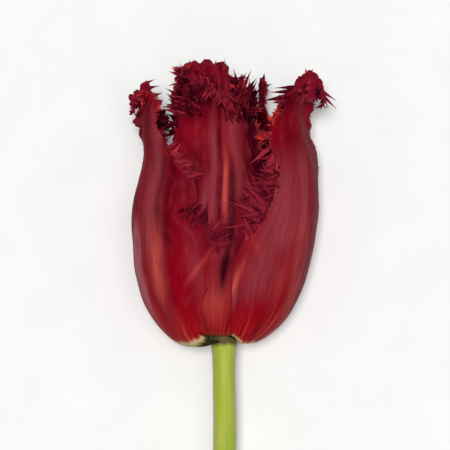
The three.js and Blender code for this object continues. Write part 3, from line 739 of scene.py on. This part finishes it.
def plant_tufts(bm, name, petal, rng):
    for side, height, spread, count, size, sweep, tone in TUFTS.get(name, []):
        for _ in range(count):
            along = min(max(along_at(petal, height + spread * rng.uniform(-1, 1)), 0.2), 0.97)
            across = side * rng.uniform(0.9, 1.0)
            root, out, tipwards, normal = axes_at(petal, across, along)
            aim = out * side + tipwards * (sweep + rng.gauss(0, 0.45))
            aim += normal * rng.uniform(-0.05, 0.35)
            length = size * rng.uniform(0.45, 1.1) * MM
            bend = -normal + tipwards * rng.uniform(-1, 1)
            width = (0.34 + 0.06 * size) * rng.uniform(0.7, 1.3) * MM
            start = root - aim.normalized() * 0.4 * MM
            shade = toned(rng, tone - 0.2, tone + 0.2)
            curl = rng.uniform(0.05, 0.4)
            plant(bm, (across, along), start, aim, bend, length, width, shade, curl)


def plant_frills(bm, name, petal, rng):
    for places, alongs, count, size, heading_left, heading_right, tones in FRILLS.get(name, []):
        darkest, brightest, *painted_shade_to_right = tones
        for _ in range(count):
            share = rng.random()
            across = places[0] + (places[1] - places[0]) * share
            along = rng.uniform(*alongs)
            root = petal_point(petal, across, along)
            aim = Vector(heading_left).lerp(Vector(heading_right), share).normalized()
            aim += Vector([rng.gauss(0, 0.28) for _ in range(3)])
            length = size * rng.uniform(0.4, 1.1) * MM
            width = (0.35 + 0.05 * size) * rng.uniform(0.7, 1.4) * MM
            bend = Vector((rng.gauss(0, 0.6), rng.gauss(0, 0.6), 0.6))
            start = root - aim.normalized() * 0.3 * MM
            # a frill's third tone adds painted shade towards its right end
            shade = max(toned(rng, darkest, brightest) - sum(painted_shade_to_right) * share**4, 0)
            curl = rng.uniform(0.1, 0.5)
            plant(bm, (across, along), start, aim, bend, length, width, shade, curl)


def plant_long(bm, name, petal, rng):
    for across, along, towards, length, tone in LONG_FRONDS.get(name, []):
        aim = Vector(towards)
        start = petal_point(petal, across, along) - aim.normalized() * 0.5 * MM
        width = (0.28 + 0.045 * length) * MM
        bend = Vector((0.2, 0.3, 1))
        curl = rng.uniform(-0.15, 0.15)
        plant(bm, (across, along), start, aim, bend, length * MM, width, tone, curl)


for kind, places in (("tufts", TUFTS), ("frills", FRILLS), ("long fronds", LONG_FRONDS)):
    print(sum(len(rows) for rows in places.values()), kind)

# %% [markdown]
# ## Put the petals together
# Blade and fronds share one mesh, so a petal stays one piece, like the real one. It is smooth-shaded,
# rides on the flower's only body, and stands in for its plain solid. The same helper finishes the stem,
# the pistil and the stamens.

# %% Helper: a finished piece
def finish_piece(bm, name, node, paint):
    mesh = bpy.data.meshes.new(name)
    bm.to_mesh(mesh)
    bm.free()
    mesh.polygons.foreach_set("use_smooth", [True] * len(mesh.polygons))
    mesh.materials.append(paint)
    piece = bpy.data.objects.new(name, mesh)
    bpy.context.scene.collection.objects.link(piece)
    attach(piece, "root")
    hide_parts(node)
    mesh.calc_loop_triangles()
    print(name, "has", len(mesh.loop_triangles), "triangles")

# %% [markdown]
# ## Paint: node helpers
# Every finish below is a small node tree. A few short helpers keep the trees readable: they add a node
# with its settings, feed a socket with a number, a colour or another node, read a number that was kept
# on the mesh, and grow noise. Colours are given as they look on a screen, from 0 to 255.

# %% Node helpers
def srgb(r, g, b):
    """A colour as it looks on a screen, turned into the linear light that nodes use."""
    channels = [c / 255 for c in (r, g, b)]
    return [c / 12.92 if c <= 0.04045 else ((c + 0.055) / 1.055) ** 2.4 for c in channels] + [1]


def feed(tree, socket, value):
    if isinstance(value, bpy.types.NodeSocket):
        tree.links.new(value, socket)
    else:
        socket.default_value = srgb(*value) if isinstance(value, tuple) else value


def node(tree, kind, inputs=None, **settings):
    made = tree.nodes.new(kind)
    for key, value in settings.items():
        setattr(made, key, value)
    for socket, value in (inputs or {}).items():
        feed(tree, made.inputs[socket], value)
    return made


def kept(tree, name):
    return node(tree, "ShaderNodeAttribute", attribute_name=name).outputs["Fac"]


def object_place(tree):
    return node(tree, "ShaderNodeTexCoord").outputs["Object"]


def grain(tree, place, scale, detail):
    inputs = {"Vector": place, "Scale": scale, "Detail": detail}
    return node(tree, "ShaderNodeTexNoise", inputs).outputs["Fac"]


def grain_at(tree, x, y, z, detail):
    """Noise that is read at a place worked out by the tree itself."""
    place = node(tree, "ShaderNodeCombineXYZ", {0: x, 1: y, 2: z}).outputs[0]
    return grain(tree, place, 1, detail)


def ramp(tree, factor, stops):
    made = node(tree, "ShaderNodeValToRGB", {"Fac": factor})
    elements = made.color_ramp.elements
    while len(elements) < len(stops):
        elements.new(0.5)
    for element, (position, colour) in zip(elements, stops):
        element.position = position
        element.color = srgb(*colour) if isinstance(colour, tuple) else [colour, colour, colour, 1]
    return made.outputs["Color"]


def mix(tree, factor, a, b):
    """The colour a, with more of b in it the larger the factor is."""
    made = node(tree, "ShaderNodeMix", {0: factor}, data_type="RGBA")
    feed(tree, made.inputs[6], a)
    feed(tree, made.inputs[7], b)
    return made.outputs[2]


def maths(tree, operation, a, b=0.0):
    return node(tree, "ShaderNodeMath", {0: a, 1: b}, operation=operation).outputs["Value"]


def times(tree, a, b):
    return maths(tree, "MULTIPLY", a, b)


def new_paint(name, roughness, **constants):
    paint = bpy.data.materials.new(name)
    paint.use_nodes = True
    shader = paint.node_tree.nodes["Principled BSDF"]
    shader.inputs["Roughness"].default_value = roughness
    for key, value in constants.items():
        shader.inputs[key.replace("_", " ")].default_value = value
    return paint, paint.node_tree, shader


def wear(tree, shader, skin, gloss, relief, strength, depth):
    """Gives a shader its colour and roughness, and bumps as high as the relief, of a depth in mm."""
    bump = node(tree, "ShaderNodeBump", {"Height": relief, "Strength": strength, "Distance": depth * MM})
    tree.links.new(skin, shader.inputs["Base Color"])
    tree.links.new(gloss, shader.inputs["Roughness"])
    tree.links.new(bump.outputs["Normal"], shader.inputs["Normal"])


print("linear crimson:", [round(c, 3) for c in srgb(127, 20, 36)])

# %% [markdown]
# ## The petal's skin
# A petal of this kind is deep crimson with fine lengthwise veins. Its ridges are painted a greyish
# pink, a sheen of light on its waxy bloom, the foot is bright red, then yellow and blackish green at
# the claw, and the fringe is painted nearly black where it lies in shade and orange red, lit through,
# towards its points. Noise drawn out lengthwise makes the veins: it reads the numbers kept on the
# blade, so it follows the petal round every bend, and the four masks lay the colours in bands.

# %% Petal skin
CRIMSON = (124, 5, 26)
CLOUDED = (136, 18, 36)
# The masks' colours: a painted sheen of light, painted orange light, the grooves' deep crimson and
# painted shade.
BAND_COLOURS = {"painted_sheen": (164, 86, 94), "glow": (192, 74, 66), "deep": (138, 0, 20), "shade": (54, 0, 16)}
BLOTCH = (150, 44, 52)
VEIN = (84, 0, 16)
FOOT = [(0.36, (112, 0, 14)), (0.46, (154, 6, 20)), (0.58, (164, 16, 20)), (0.7, (176, 70, 62))]
# The fronds are painted from nearly black, in shade, through crimson to an orange red that is light
# shining through them.
FROND_SHADE_TO_LIGHT = [(0.05, (46, 0, 14)), (0.45, (118, 20, 40)), (0.8, (151, 40, 54)), (1.0, (208, 56, 42))]
# The inner face keeps its own red where a tip rolls open; on the petals that stay upright it is painted
# nearly black with the shade inside the bloom.
INNER_FACE_AND_PAINTED_SHADE = {True: (122, 16, 34), False: (44, 2, 16)}  # brighter where the tip rolls open to the light
PALE_CLAW, PALE_CLAW_EDGE = (150, 138, 84), (206, 180, 138)
DARK_CLAW, DARK_CLAW_EDGE = (60, 54, 30), (112, 40, 26)
BLACKISH_GREEN = (46, 42, 22)
ABOVE_THE_CLAW = (160, 40, 34)


def petal_skin(name, petal):
    paint, tree, shader = new_paint(name, 0.5, Specular_IOR_Level=0.02)
    across, along, rise, fringe, tone, inside = (kept(tree, layer) for layer in KEPT)

    def drawn_out(width, length, detail):
        x, y = times(tree, across, width), times(tree, along, length)
        return grain_at(tree, x, y, petal["seed"] * 0.37, detail)

    veins = drawn_out(26, 11, 5)
    streaks = drawn_out(8, 5.5, 4)
    clouds = drawn_out(3, 7, 3)
    blotches = drawn_out(9, 22, 3)
    rays = ramp(tree, drawn_out(15, 4.5, 3), FOOT)

    skin = mix(tree, ramp(tree, clouds, [(0.4, 0), (0.66, 0.5)]), CRIMSON, CLOUDED)
    patchy = ramp(tree, streaks, [(0.3, 0.66), (0.62, 0.94)])
    outside = maths(tree, "SUBTRACT", 1, inside)
    for mask in MASKS:
        strength = times(tree, times(tree, kept(tree, mask), outside), patchy)
        skin = mix(tree, strength, skin, BAND_COLOURS[mask])
    skin = mix(tree, ramp(tree, blotches, [(0.5, 0), (0.72, 0.4)]), skin, BLOTCH)
    skin = mix(tree, ramp(tree, veins, [(0.46, 0), (0.68, 0.34)]), skin, VEIN)
    skin = mix(tree, ramp(tree, times(tree, rise, 0.05), [(0.2, 0.85), (0.7, 0)]), skin, rays)
    skin = mix(tree, times(tree, inside, 0.7), skin, INNER_FACE_AND_PAINTED_SHADE[petal["rolled"]])

    # the claw ends in a ragged line: the streaks push it up and down
    torn_line = times(tree, maths(tree, "SUBTRACT", streaks, 0.5), 0.07)
    ragged = maths(tree, "ADD", maths(tree, "SUBTRACT", along, petal["claw"]), torn_line)
    is_outer = petal["whorl"] is OUTER_BELLY
    colour, edge = (PALE_CLAW, PALE_CLAW_EDGE) if is_outer else (DARK_CLAW, DARK_CLAW_EDGE)
    stops = [(0.045, BLACKISH_GREEN), (0.06, colour), (0.076, edge), (0.094, ABOVE_THE_CLAW)]
    skin = mix(tree, ramp(tree, ragged, [(0.078, 1), (0.104, 0)]), skin, ramp(tree, ragged, stops))

    skin = mix(tree, ramp(tree, fringe, [(0.05, 0), (0.45, 1)]), skin, ramp(tree, tone, FROND_SHADE_TO_LIGHT))
    wear(tree, shader, skin, ramp(tree, veins, [(0.3, 0.42), (0.7, 0.6)]), veins, 0.3, 0.12)
    return paint

# %% Grow all six petals
def grow_petal(name, petal):
    rng = random.Random(petal["seed"])
    bm = grow_blade(name, petal)
    plant_rim(bm, petal, rng)
    plant_crest(bm, petal, rng)
    plant_face(bm, petal, rng)
    plant_tufts(bm, name, petal, rng)
    plant_frills(bm, name, petal, rng)
    plant_long(bm, name, petal, rng)
    finish_piece(bm, name + "_fringed", name, petal_skin(name.replace("petal", "skin"), petal))


for petal_name, petal_form in PETALS.items():
    grow_petal(petal_name, petal_form)

# %% [markdown]
# ## The stem
# The stem is a smooth round stalk that swells into the receptacle under the petals. A plain cylinder
# would be too straight: this one is one ring of edges, pulled out again and again along the bowed line
# of the stalk, a little thicker or thinner each time, so that the rings always stand square to it.

# %% Stem form
STEM_LENGTH = 150  # from the bloom's foot to the cut
RECEPTACLE_TOP = 5.6  # above the bloom's foot
WHOLE_STEM = RECEPTACLE_TOP + STEM_LENGTH
STEM_RADIUS = 3.1
CUT_RADIUS = 3.6
STEM_ROUTE = [
    (0, RECEPTACLE_TOP, AXIS_HEIGHT),
    (0, -6, AXIS_HEIGHT),
    (0.2, -30, AXIS_HEIGHT - 0.7),
    (-1.5, -58, AXIS_HEIGHT - 5.5),
    (-4.5, -88, AXIS_HEIGHT - 14),
    (-8.5, -116, CUT_RADIUS + 2.6),
    (-12, -136, CUT_RADIUS + 0.15),
    (-14, -STEM_LENGTH, CUT_RADIUS),
]
NECK = [(0, 3.3), (0.6, 3.75), (2, 3.9), (4.2, 3.9), (6.2, 3.5), (8.6, 3.25), (13.6, STEM_RADIUS)]
NECK_END = NECK[-1][0]
STEPS = 700  # short straight ones, to measure the bowed line


def stem_radius(distance):
    """The stalk's radius at a distance below the receptacle's top, in mm."""
    for (d0, r0), (d1, r1) in zip(NECK, NECK[1:]):
        if distance <= d1:
            return r0 + (r1 - r0) * (distance - d0) / (d1 - d0)
    share = (distance - NECK_END) / (WHOLE_STEM - NECK_END)
    return STEM_RADIUS + (CUT_RADIUS - STEM_RADIUS) * share**0.6


def stem_between(t):
    """A point of the bowed line. Its pace allows for uneven gaps between stations, so it never kinks."""
    pos = (len(STEM_ROUTE) - 1) * t
    i = min(int(pos), len(STEM_ROUTE) - 2)
    route = [Vector(p) for p in STEM_ROUTE]
    b, c = route[i], route[i + 1]
    a = route[i - 1] if i > 0 else b * 2 - c
    d = route[i + 2] if i + 2 < len(route) else c * 2 - b
    gap_a, gap_b, gap_c = ((q - p).length ** 0.5 for p, q in ((a, b), (b, c), (c, d)))
    slope_in = ((b - a) / gap_a - (c - a) / (gap_a + gap_b) + (c - b) / gap_b) * gap_b
    slope_out = ((c - b) / gap_b - (d - b) / (gap_b + gap_c) + (d - c) / gap_c) * gap_b
    return cubic_between(b, c, slope_in, slope_out, pos - i)


line = [stem_between(k / STEPS) - Vector((0, REST_HEIGHT, 0)) for k in range(STEPS + 1)]
walked = [0]
for before, after in zip(line, line[1:]):
    walked.append(walked[-1] + (after - before).length)
reach = min(1, WHOLE_STEM / walked[-1])
print("length of the stem's line in mm:", round(walked[-1], 1), "used:", round(reach, 3))

# %% [markdown]
# At each step a ring needs to know where it is and which way the stalk points there. The frame below
# gives both, and the move from one frame to the next is a single matrix for the whole ring.

# %% Rings along the stem
RING_SIDES = 48
NECK_RINGS = [0.4, 0.8, 1.3, 2, 3, 4.2, 5.2, 6.2, 7.4, 8.6]
STALK_RINGS = 90
STEM_KEPT = ("down", "east", "north", "cut")  # how far down and round it is, and 1 on the cut


def stem_frame(distance):
    """Where a ring stands and how it is turned, for a distance below the receptacle's top, in metres."""
    goal = distance / WHOLE_STEM * reach * walked[-1]
    k = min(max(1, next((i for i, w in enumerate(walked) if w >= goal), STEPS)), STEPS)
    part = (goal - walked[k - 1]) / (walked[k] - walked[k - 1])
    place = line[k - 1].lerp(line[k], part)
    ahead = (line[min(k + 4, STEPS)] - line[max(k - 5, 0)]).normalized()
    side = Vector((0, 0, 1)).cross(ahead).normalized()
    above = ahead.cross(side)
    radius = stem_radius(distance)
    axes = Matrix((side * radius, above * radius, ahead * radius)).transposed()
    return Matrix.Translation(place * MM) @ (axes * MM).to_4x4()


def close_end(bm, loop, rim_depth, step_depth):
    """Fills a loop with a rim and three rings, each a step higher or lower, and gives the middle."""
    middle = bmesh.ops.edgeloop_fill(bm, edges=loop)["faces"]
    bmesh.ops.inset_region(bm, faces=middle, thickness=0.25 * MM, depth=rim_depth * MM)
    for _ in range(3):
        bmesh.ops.inset_region(bm, faces=middle, thickness=0.9 * MM, depth=step_depth * MM)
    return middle


def grow_stem():
    bm = bmesh.new()
    down, east, north, cut = (bm.verts.layers.float.new(name) for name in STEM_KEPT)
    ring = bmesh.ops.create_circle(bm, cap_ends=False, segments=RING_SIDES, radius=1)["verts"]
    for v in ring:
        v[east], v[north] = v.co.x, v.co.y
    now = stem_frame(0)
    bmesh.ops.transform(bm, matrix=now, verts=ring)
    top = bm.edges[:]
    edges = top
    first = NECK_RINGS[-1]
    rest = [first + (WHOLE_STEM - first) * (k + 1) / STALK_RINGS for k in range(STALK_RINGS)]
    for distance in NECK_RINGS + rest:
        made = bmesh.ops.extrude_edge_only(bm, edges=edges)["geom"]
        ring = [g for g in made if isinstance(g, bmesh.types.BMVert)]
        edges = [g for g in made if isinstance(g, bmesh.types.BMEdge)]
        ahead = stem_frame(distance)
        bmesh.ops.transform(bm, matrix=ahead @ now.inverted(), verts=ring)
        now = ahead
        for v in ring:
            v[down] = distance
    dome = close_end(bm, top, 0, 0.25)
    bmesh.ops.poke(bm, faces=dome)
    pith = close_end(bm, edges, 0.12, -0.12)
    # the pith is pale, and the ring round it nearly so
    for v in {v for f in pith for e in f.edges for g in e.link_faces for v in g.verts}:
        v[cut] = 0.9
    for v in {v for f in pith for v in f.verts}:
        v[cut] = 1
    bmesh.ops.poke(bm, faces=pith)
    bmesh.ops.recalc_face_normals(bm, faces=bm.faces[:])
    return bm


print("rings along the stem:", len(NECK_RINGS) + STALK_RINGS)

# %% [markdown]
# ## The stem's skin
# A tulip stem is a waxy yellow green, fresher in patches where fingers have rubbed it. Faint lines
# run down it, its two flanks are painted greyer with a sheen of light, and it is darker just under
# the flower. The freshly cut end shows pale, wet pith inside a green rim.

# %% Stem skin
GREENS = [(0.3, (146, 160, 44)), (0.5, (162, 176, 50)), (0.7, (176, 184, 76))]
FAINT_LINE = (136, 154, 62)
PORE = (196, 202, 120)
PAINTED_SHEEN_ON_FLANKS = (158, 170, 112)
DARKER_BELOW_THE_BLOOM = (92, 78, 38)
PITH = (206, 210, 150)


def stem_skin():
    paint, tree, shader = new_paint(
        "stem_skin", 0.5, Specular_IOR_Level=0.16, Sheen_Weight=0.03,
        Subsurface_Weight=0.06, Subsurface_Radius=(0.002, 0.002, 0.0008),
    )
    down, east, north, cut = (kept(tree, name) for name in STEM_KEPT)

    def wrapped(round_scale, down_scale, detail):
        x, y = times(tree, east, round_scale), times(tree, north, round_scale)
        return grain_at(tree, x, y, times(tree, down, down_scale), detail)

    lines = wrapped(9, 0.03, 4)
    patches = wrapped(1.2, 0.07, 3)
    pores = wrapped(24, 2.2, 2)
    skin = ramp(tree, patches, GREENS)
    skin = mix(tree, ramp(tree, lines, [(0.45, 0), (0.7, 0.4)]), skin, FAINT_LINE)
    skin = mix(tree, ramp(tree, pores, [(0.6, 0), (0.75, 0.35)]), skin, PORE)
    # painted sheen: the stalk's two flanks, as seen from above, are painted greyer as light glances off
    # them
    sides = maths(tree, "ABSOLUTE", east)
    skin = mix(tree, ramp(tree, sides, [(0.6, 0), (1, 0.6)]), skin, PAINTED_SHEEN_ON_FLANKS)
    # the stalk is darker olive for about five millimetres under the flower, with a ragged lower edge
    seat = maths(tree, "ADD", times(tree, down, 0.1), times(tree, patches, 0.3))
    skin = mix(tree, ramp(tree, seat, [(0.64, 1), (0.76, 0)]), skin, DARKER_BELOW_THE_BLOOM)
    skin = mix(tree, cut, skin, PITH)
    wear(tree, shader, skin, ramp(tree, patches, [(0.3, 0.38), (0.7, 0.58)]), lines, 0.25, 0.15)
    return paint


finish_piece(grow_stem(), "stem_stalk", "stem", stem_skin())

# %% [markdown]
# ## The pistil
# In the middle stands a three-sided ovary under a crown of three curled stigma lobes. It is a turned
# form first: half an outline is spun round the axis, and then the round body is swelled along three
# ribs. The lobes are squashed balls, drawn out and curled over by moving their outer ends.

# %% Pistil form
OVARY_OUTLINE = [
    (0, 5.9), (1, 5.92), (1.4, 6.1), (1.7, 7), (2.2, 8.6), (2.6, 12), (2.7, 14.6),
    (2.6, 18), (2.3, 22), (1.9, 24), (1.7, 25), (1.2, 25.4), (0, 25.6),
]
OVARY_SIDES = 36
RIB = 0.14  # how much an ovary's rib stands out, as a share of its radius
LOBES = 3
LOBE_RADIUS = 2.1
LOBE_HEIGHT = 25.7
LOBE_REACH = 2.0  # of a lobe's middle from the axis


def swell_to_three(v, amount):
    angle = math.atan2(v.co.y, v.co.x)
    factor = 1 + amount * math.cos(3 * angle)
    v.co.x *= factor
    v.co.y *= factor


def lay_down(bm):
    """Brings an upright piece, drawn in mm, to its place in the lying flower, with its faces outward."""
    for v in bm.verts:
        v.co = to_table(v.co.x, v.co.y, v.co.z)
    bmesh.ops.recalc_face_normals(bm, faces=bm.faces[:])


def add_lobe(bm, lobe, turn):
    made = bmesh.ops.create_uvsphere(bm, u_segments=20, v_segments=12, radius=LOBE_RADIUS)["verts"]
    for v in made:
        v[lobe] = 1
        v.co.x *= 1.35
        v.co.y *= 0.6
        v.co.z *= 0.62
        ridge = math.cos(v.co.y * 5) * 0.12
        v.co.z += ridge - 0.09 * max(v.co.x, 0) ** 2
        v.co.x += LOBE_REACH
    bmesh.ops.translate(bm, verts=made, vec=(0, 0, LOBE_HEIGHT))
    bmesh.ops.rotate(bm, verts=made, cent=(0, 0, 0), matrix=Matrix.Rotation(turn, 3, "Z"))


def grow_pistil():
    bm = bmesh.new()
    height = bm.verts.layers.float.new("height")
    lobe = bm.verts.layers.float.new("lobe")
    verts = [bm.verts.new((r, 0, h)) for r, h in OVARY_OUTLINE]
    edges = [bm.edges.new(pair) for pair in zip(verts, verts[1:])]
    bmesh.ops.spin(
        bm, geom=verts + edges, cent=(0, 0, 0), axis=(0, 0, 1),
        angle=math.tau, steps=OVARY_SIDES, use_merge=True,
    )
    bmesh.ops.remove_doubles(bm, verts=bm.verts[:], dist=0.01)
    for v in bm.verts:
        swell_to_three(v, RIB)
    for k in range(LOBES):
        add_lobe(bm, lobe, k * math.tau / LOBES)
    for v in bm.verts:
        v[height] = v.co.z
    lay_down(bm)
    return bm

# %% Pistil skin
OVARY_GREENS = [(0.25, (196, 200, 120)), (0.6, (160, 178, 92)), (0.95, (206, 204, 140))]
LOBE_CREAM = (232, 218, 150)
PISTIL_SPECK = (176, 168, 96)


def pistil_skin():
    paint, tree, shader = new_paint("pistil_skin", 0.5, Sheen_Weight=0.1, IOR=1.4)
    height, lobe = kept(tree, "height"), kept(tree, "lobe")
    fine = grain(tree, object_place(tree), 900, 3)
    skin = ramp(tree, times(tree, height, 0.04), OVARY_GREENS)
    skin = mix(tree, lobe, skin, LOBE_CREAM)
    skin = mix(tree, ramp(tree, fine, [(0.45, 0), (0.7, 0.35)]), skin, PISTIL_SPECK)
    wear(tree, shader, skin, ramp(tree, fine, [(0.3, 0.42), (0.7, 0.66)]), fine, 0.3, 0.1)
    return paint


finish_piece(grow_pistil(), "pistil_ribbed", "pistil", pistil_skin())

# %% [markdown]
# ## Six stamens
# Round the pistil stand six stamens. Each is a tapering filament with a long two-lobed anther, dark
# with pollen. The filament starts as a cone, and the anther as a ball stretched to a grain, with a
# groove pressed in along each face.

# %% Stamen form
STAMENS = 6
FILAMENT_LENGTH = 8.5
ANTHER_LENGTH = 13
OVERLAP = 1  # how far the anther reaches down over the filament, which ends half as far inside it
STAMEN_CIRCLE = 2.75
STAMEN_FOOT = 6.05
LEAN = math.radians(14)


def press_anther(v):
    """Moves a point of a ball to its place on an anther: two lobes, a seam on each, and blunt ends."""
    angle = math.atan2(v.co.y, v.co.x)
    waist = math.exp(-((math.cos(angle) / 0.3) ** 2))
    seam = math.exp(-((math.sin(angle) / 0.22) ** 2))
    groove = 1 - 0.35 * waist - 0.16 * seam
    blunt = (1 - v.co.z**2) ** 0.32 / max((1 - v.co.z**2) ** 0.5, 0.2)
    v.co.x *= 1.35 * groove * min(blunt, 1.25)
    v.co.y *= 1.05 * groove * min(blunt, 1.25)
    v.co.z *= ANTHER_LENGTH / 2


def grow_stamen(k):
    bm = bmesh.new()
    anther = bm.verts.layers.float.new("anther")
    length = FILAMENT_LENGTH + OVERLAP / 2
    bmesh.ops.create_cone(bm, cap_ends=True, segments=16, radius1=0.55, radius2=0.4, depth=length)
    shafts = [e for e in bm.edges if abs(e.verts[0].co.z - e.verts[1].co.z) > 1]
    bmesh.ops.subdivide_edges(bm, edges=shafts, cuts=7, use_grid_fill=True)
    bmesh.ops.translate(bm, verts=bm.verts[:], vec=(0, 0, length / 2))
    grown = bmesh.ops.create_uvsphere(bm, u_segments=36, v_segments=26, radius=1)["verts"]
    for v in grown:
        v[anther] = 1
        press_anther(v)
    above = FILAMENT_LENGTH + ANTHER_LENGTH / 2 - OVERLAP
    bmesh.ops.translate(bm, verts=grown, vec=(0, 0, above))
    bmesh.ops.rotate(bm, verts=bm.verts[:], cent=(0, 0, 0), matrix=Matrix.Rotation(LEAN, 3, "X"))
    bmesh.ops.translate(bm, verts=bm.verts[:], vec=(0, -STAMEN_CIRCLE, STAMEN_FOOT))
    around = Matrix.Rotation((k + 0.5) * math.tau / STAMENS, 3, "Z")
    bmesh.ops.rotate(bm, verts=bm.verts[:], cent=(0, 0, 0), matrix=around)
    lay_down(bm)
    return bm

# %% Stamen skin
FILAMENT = [(0.35, (150, 140, 70)), (0.65, (108, 40, 44))]
POLLEN_DARK = [(0.3, (34, 20, 34)), (0.7, (64, 40, 48))]
POLLEN_DUST = (128, 104, 70)


def stamen_skin():
    paint, tree, shader = new_paint("stamen_skin", 0.6, Sheen_Weight=0.2, Sheen_Roughness=0.6)
    where = object_place(tree)
    dust = grain(tree, where, 2600, 2)
    clouds = grain(tree, where, 320, 2)
    pollen = ramp(tree, clouds, POLLEN_DARK)
    pollen = mix(tree, ramp(tree, dust, [(0.56, 0), (0.64, 0.6)]), pollen, POLLEN_DUST)
    skin = mix(tree, kept(tree, "anther"), ramp(tree, clouds, FILAMENT), pollen)
    wear(tree, shader, skin, ramp(tree, dust, [(0.3, 0.55), (0.7, 0.85)]), dust, 0.5, 0.1)
    return paint


dark_dust = stamen_skin()
for k in range(STAMENS):
    finish_piece(grow_stamen(k), f"stamen_{k + 1}_grooved", f"stamen_{k + 1}", dark_dust)

# %% [markdown]
# ## The table and the light
# A pale, plain table lets the dark petals speak. Two large, soft suns shine from nearly straight above,
# the stronger one a touch from the upper left and the weaker one a touch from the right. A dim white
# room fills the shadows, so that the fringe is lit all round and throws only faint ones.

# %% Table
TABLE_HALF = 6  # metres: so wide that its edge stays out of low side views
BELOW_THE_FLOWER = 0.2 * MM
TABLE_GREYS = [(0.3, (238, 238, 238)), (0.7, (242, 242, 242))]


def add_table():
    bm = bmesh.new()
    bmesh.ops.create_grid(bm, x_segments=4, y_segments=4, size=TABLE_HALF)
    bmesh.ops.translate(bm, verts=bm.verts[:], vec=(0, 0, -BELOW_THE_FLOWER))
    mesh = bpy.data.meshes.new("table")
    bm.to_mesh(mesh)
    bm.free()
    paint, tree, shader = new_paint("pale_table", 0.7, Specular_IOR_Level=0.1)
    fine = grain(tree, object_place(tree), 60, 2)
    tree.links.new(ramp(tree, fine, TABLE_GREYS), shader.inputs["Base Color"])
    mesh.materials.append(paint)
    table = bpy.data.objects.new("table", mesh)
    bpy.context.scene.collection.objects.link(table)


add_table()
print("the table is", 2 * TABLE_HALF, "m wide")

# %% Light
def add_sun(name, towards, strength, softness, colour):
    light = bpy.data.lights.new(name, "SUN")
    light.energy = strength
    light.angle = math.radians(softness)
    light.color = colour
    sun = bpy.data.objects.new(name, light)
    sun.rotation_euler = Vector(towards).to_track_quat("-Z", "Y").to_euler()
    bpy.context.scene.collection.objects.link(sun)


def add_room(brightness):
    world = bpy.data.worlds.new("soft_room")
    world.use_nodes = True
    background = world.node_tree.nodes["Background"]
    background.inputs["Color"].default_value = (1, 1, 1, 1)
    background.inputs["Strength"].default_value = brightness
    bpy.context.scene.world = world


add_sun("key", (0.035, -0.045, -1), 2.2, 9, (1.0, 1.0, 0.99))
add_sun("fill", (-0.1, -0.02, -1), 0.5, 20, (0.98, 0.99, 1.0))
add_room(0.25)
bpy.context.scene.view_settings.view_transform = "Standard"
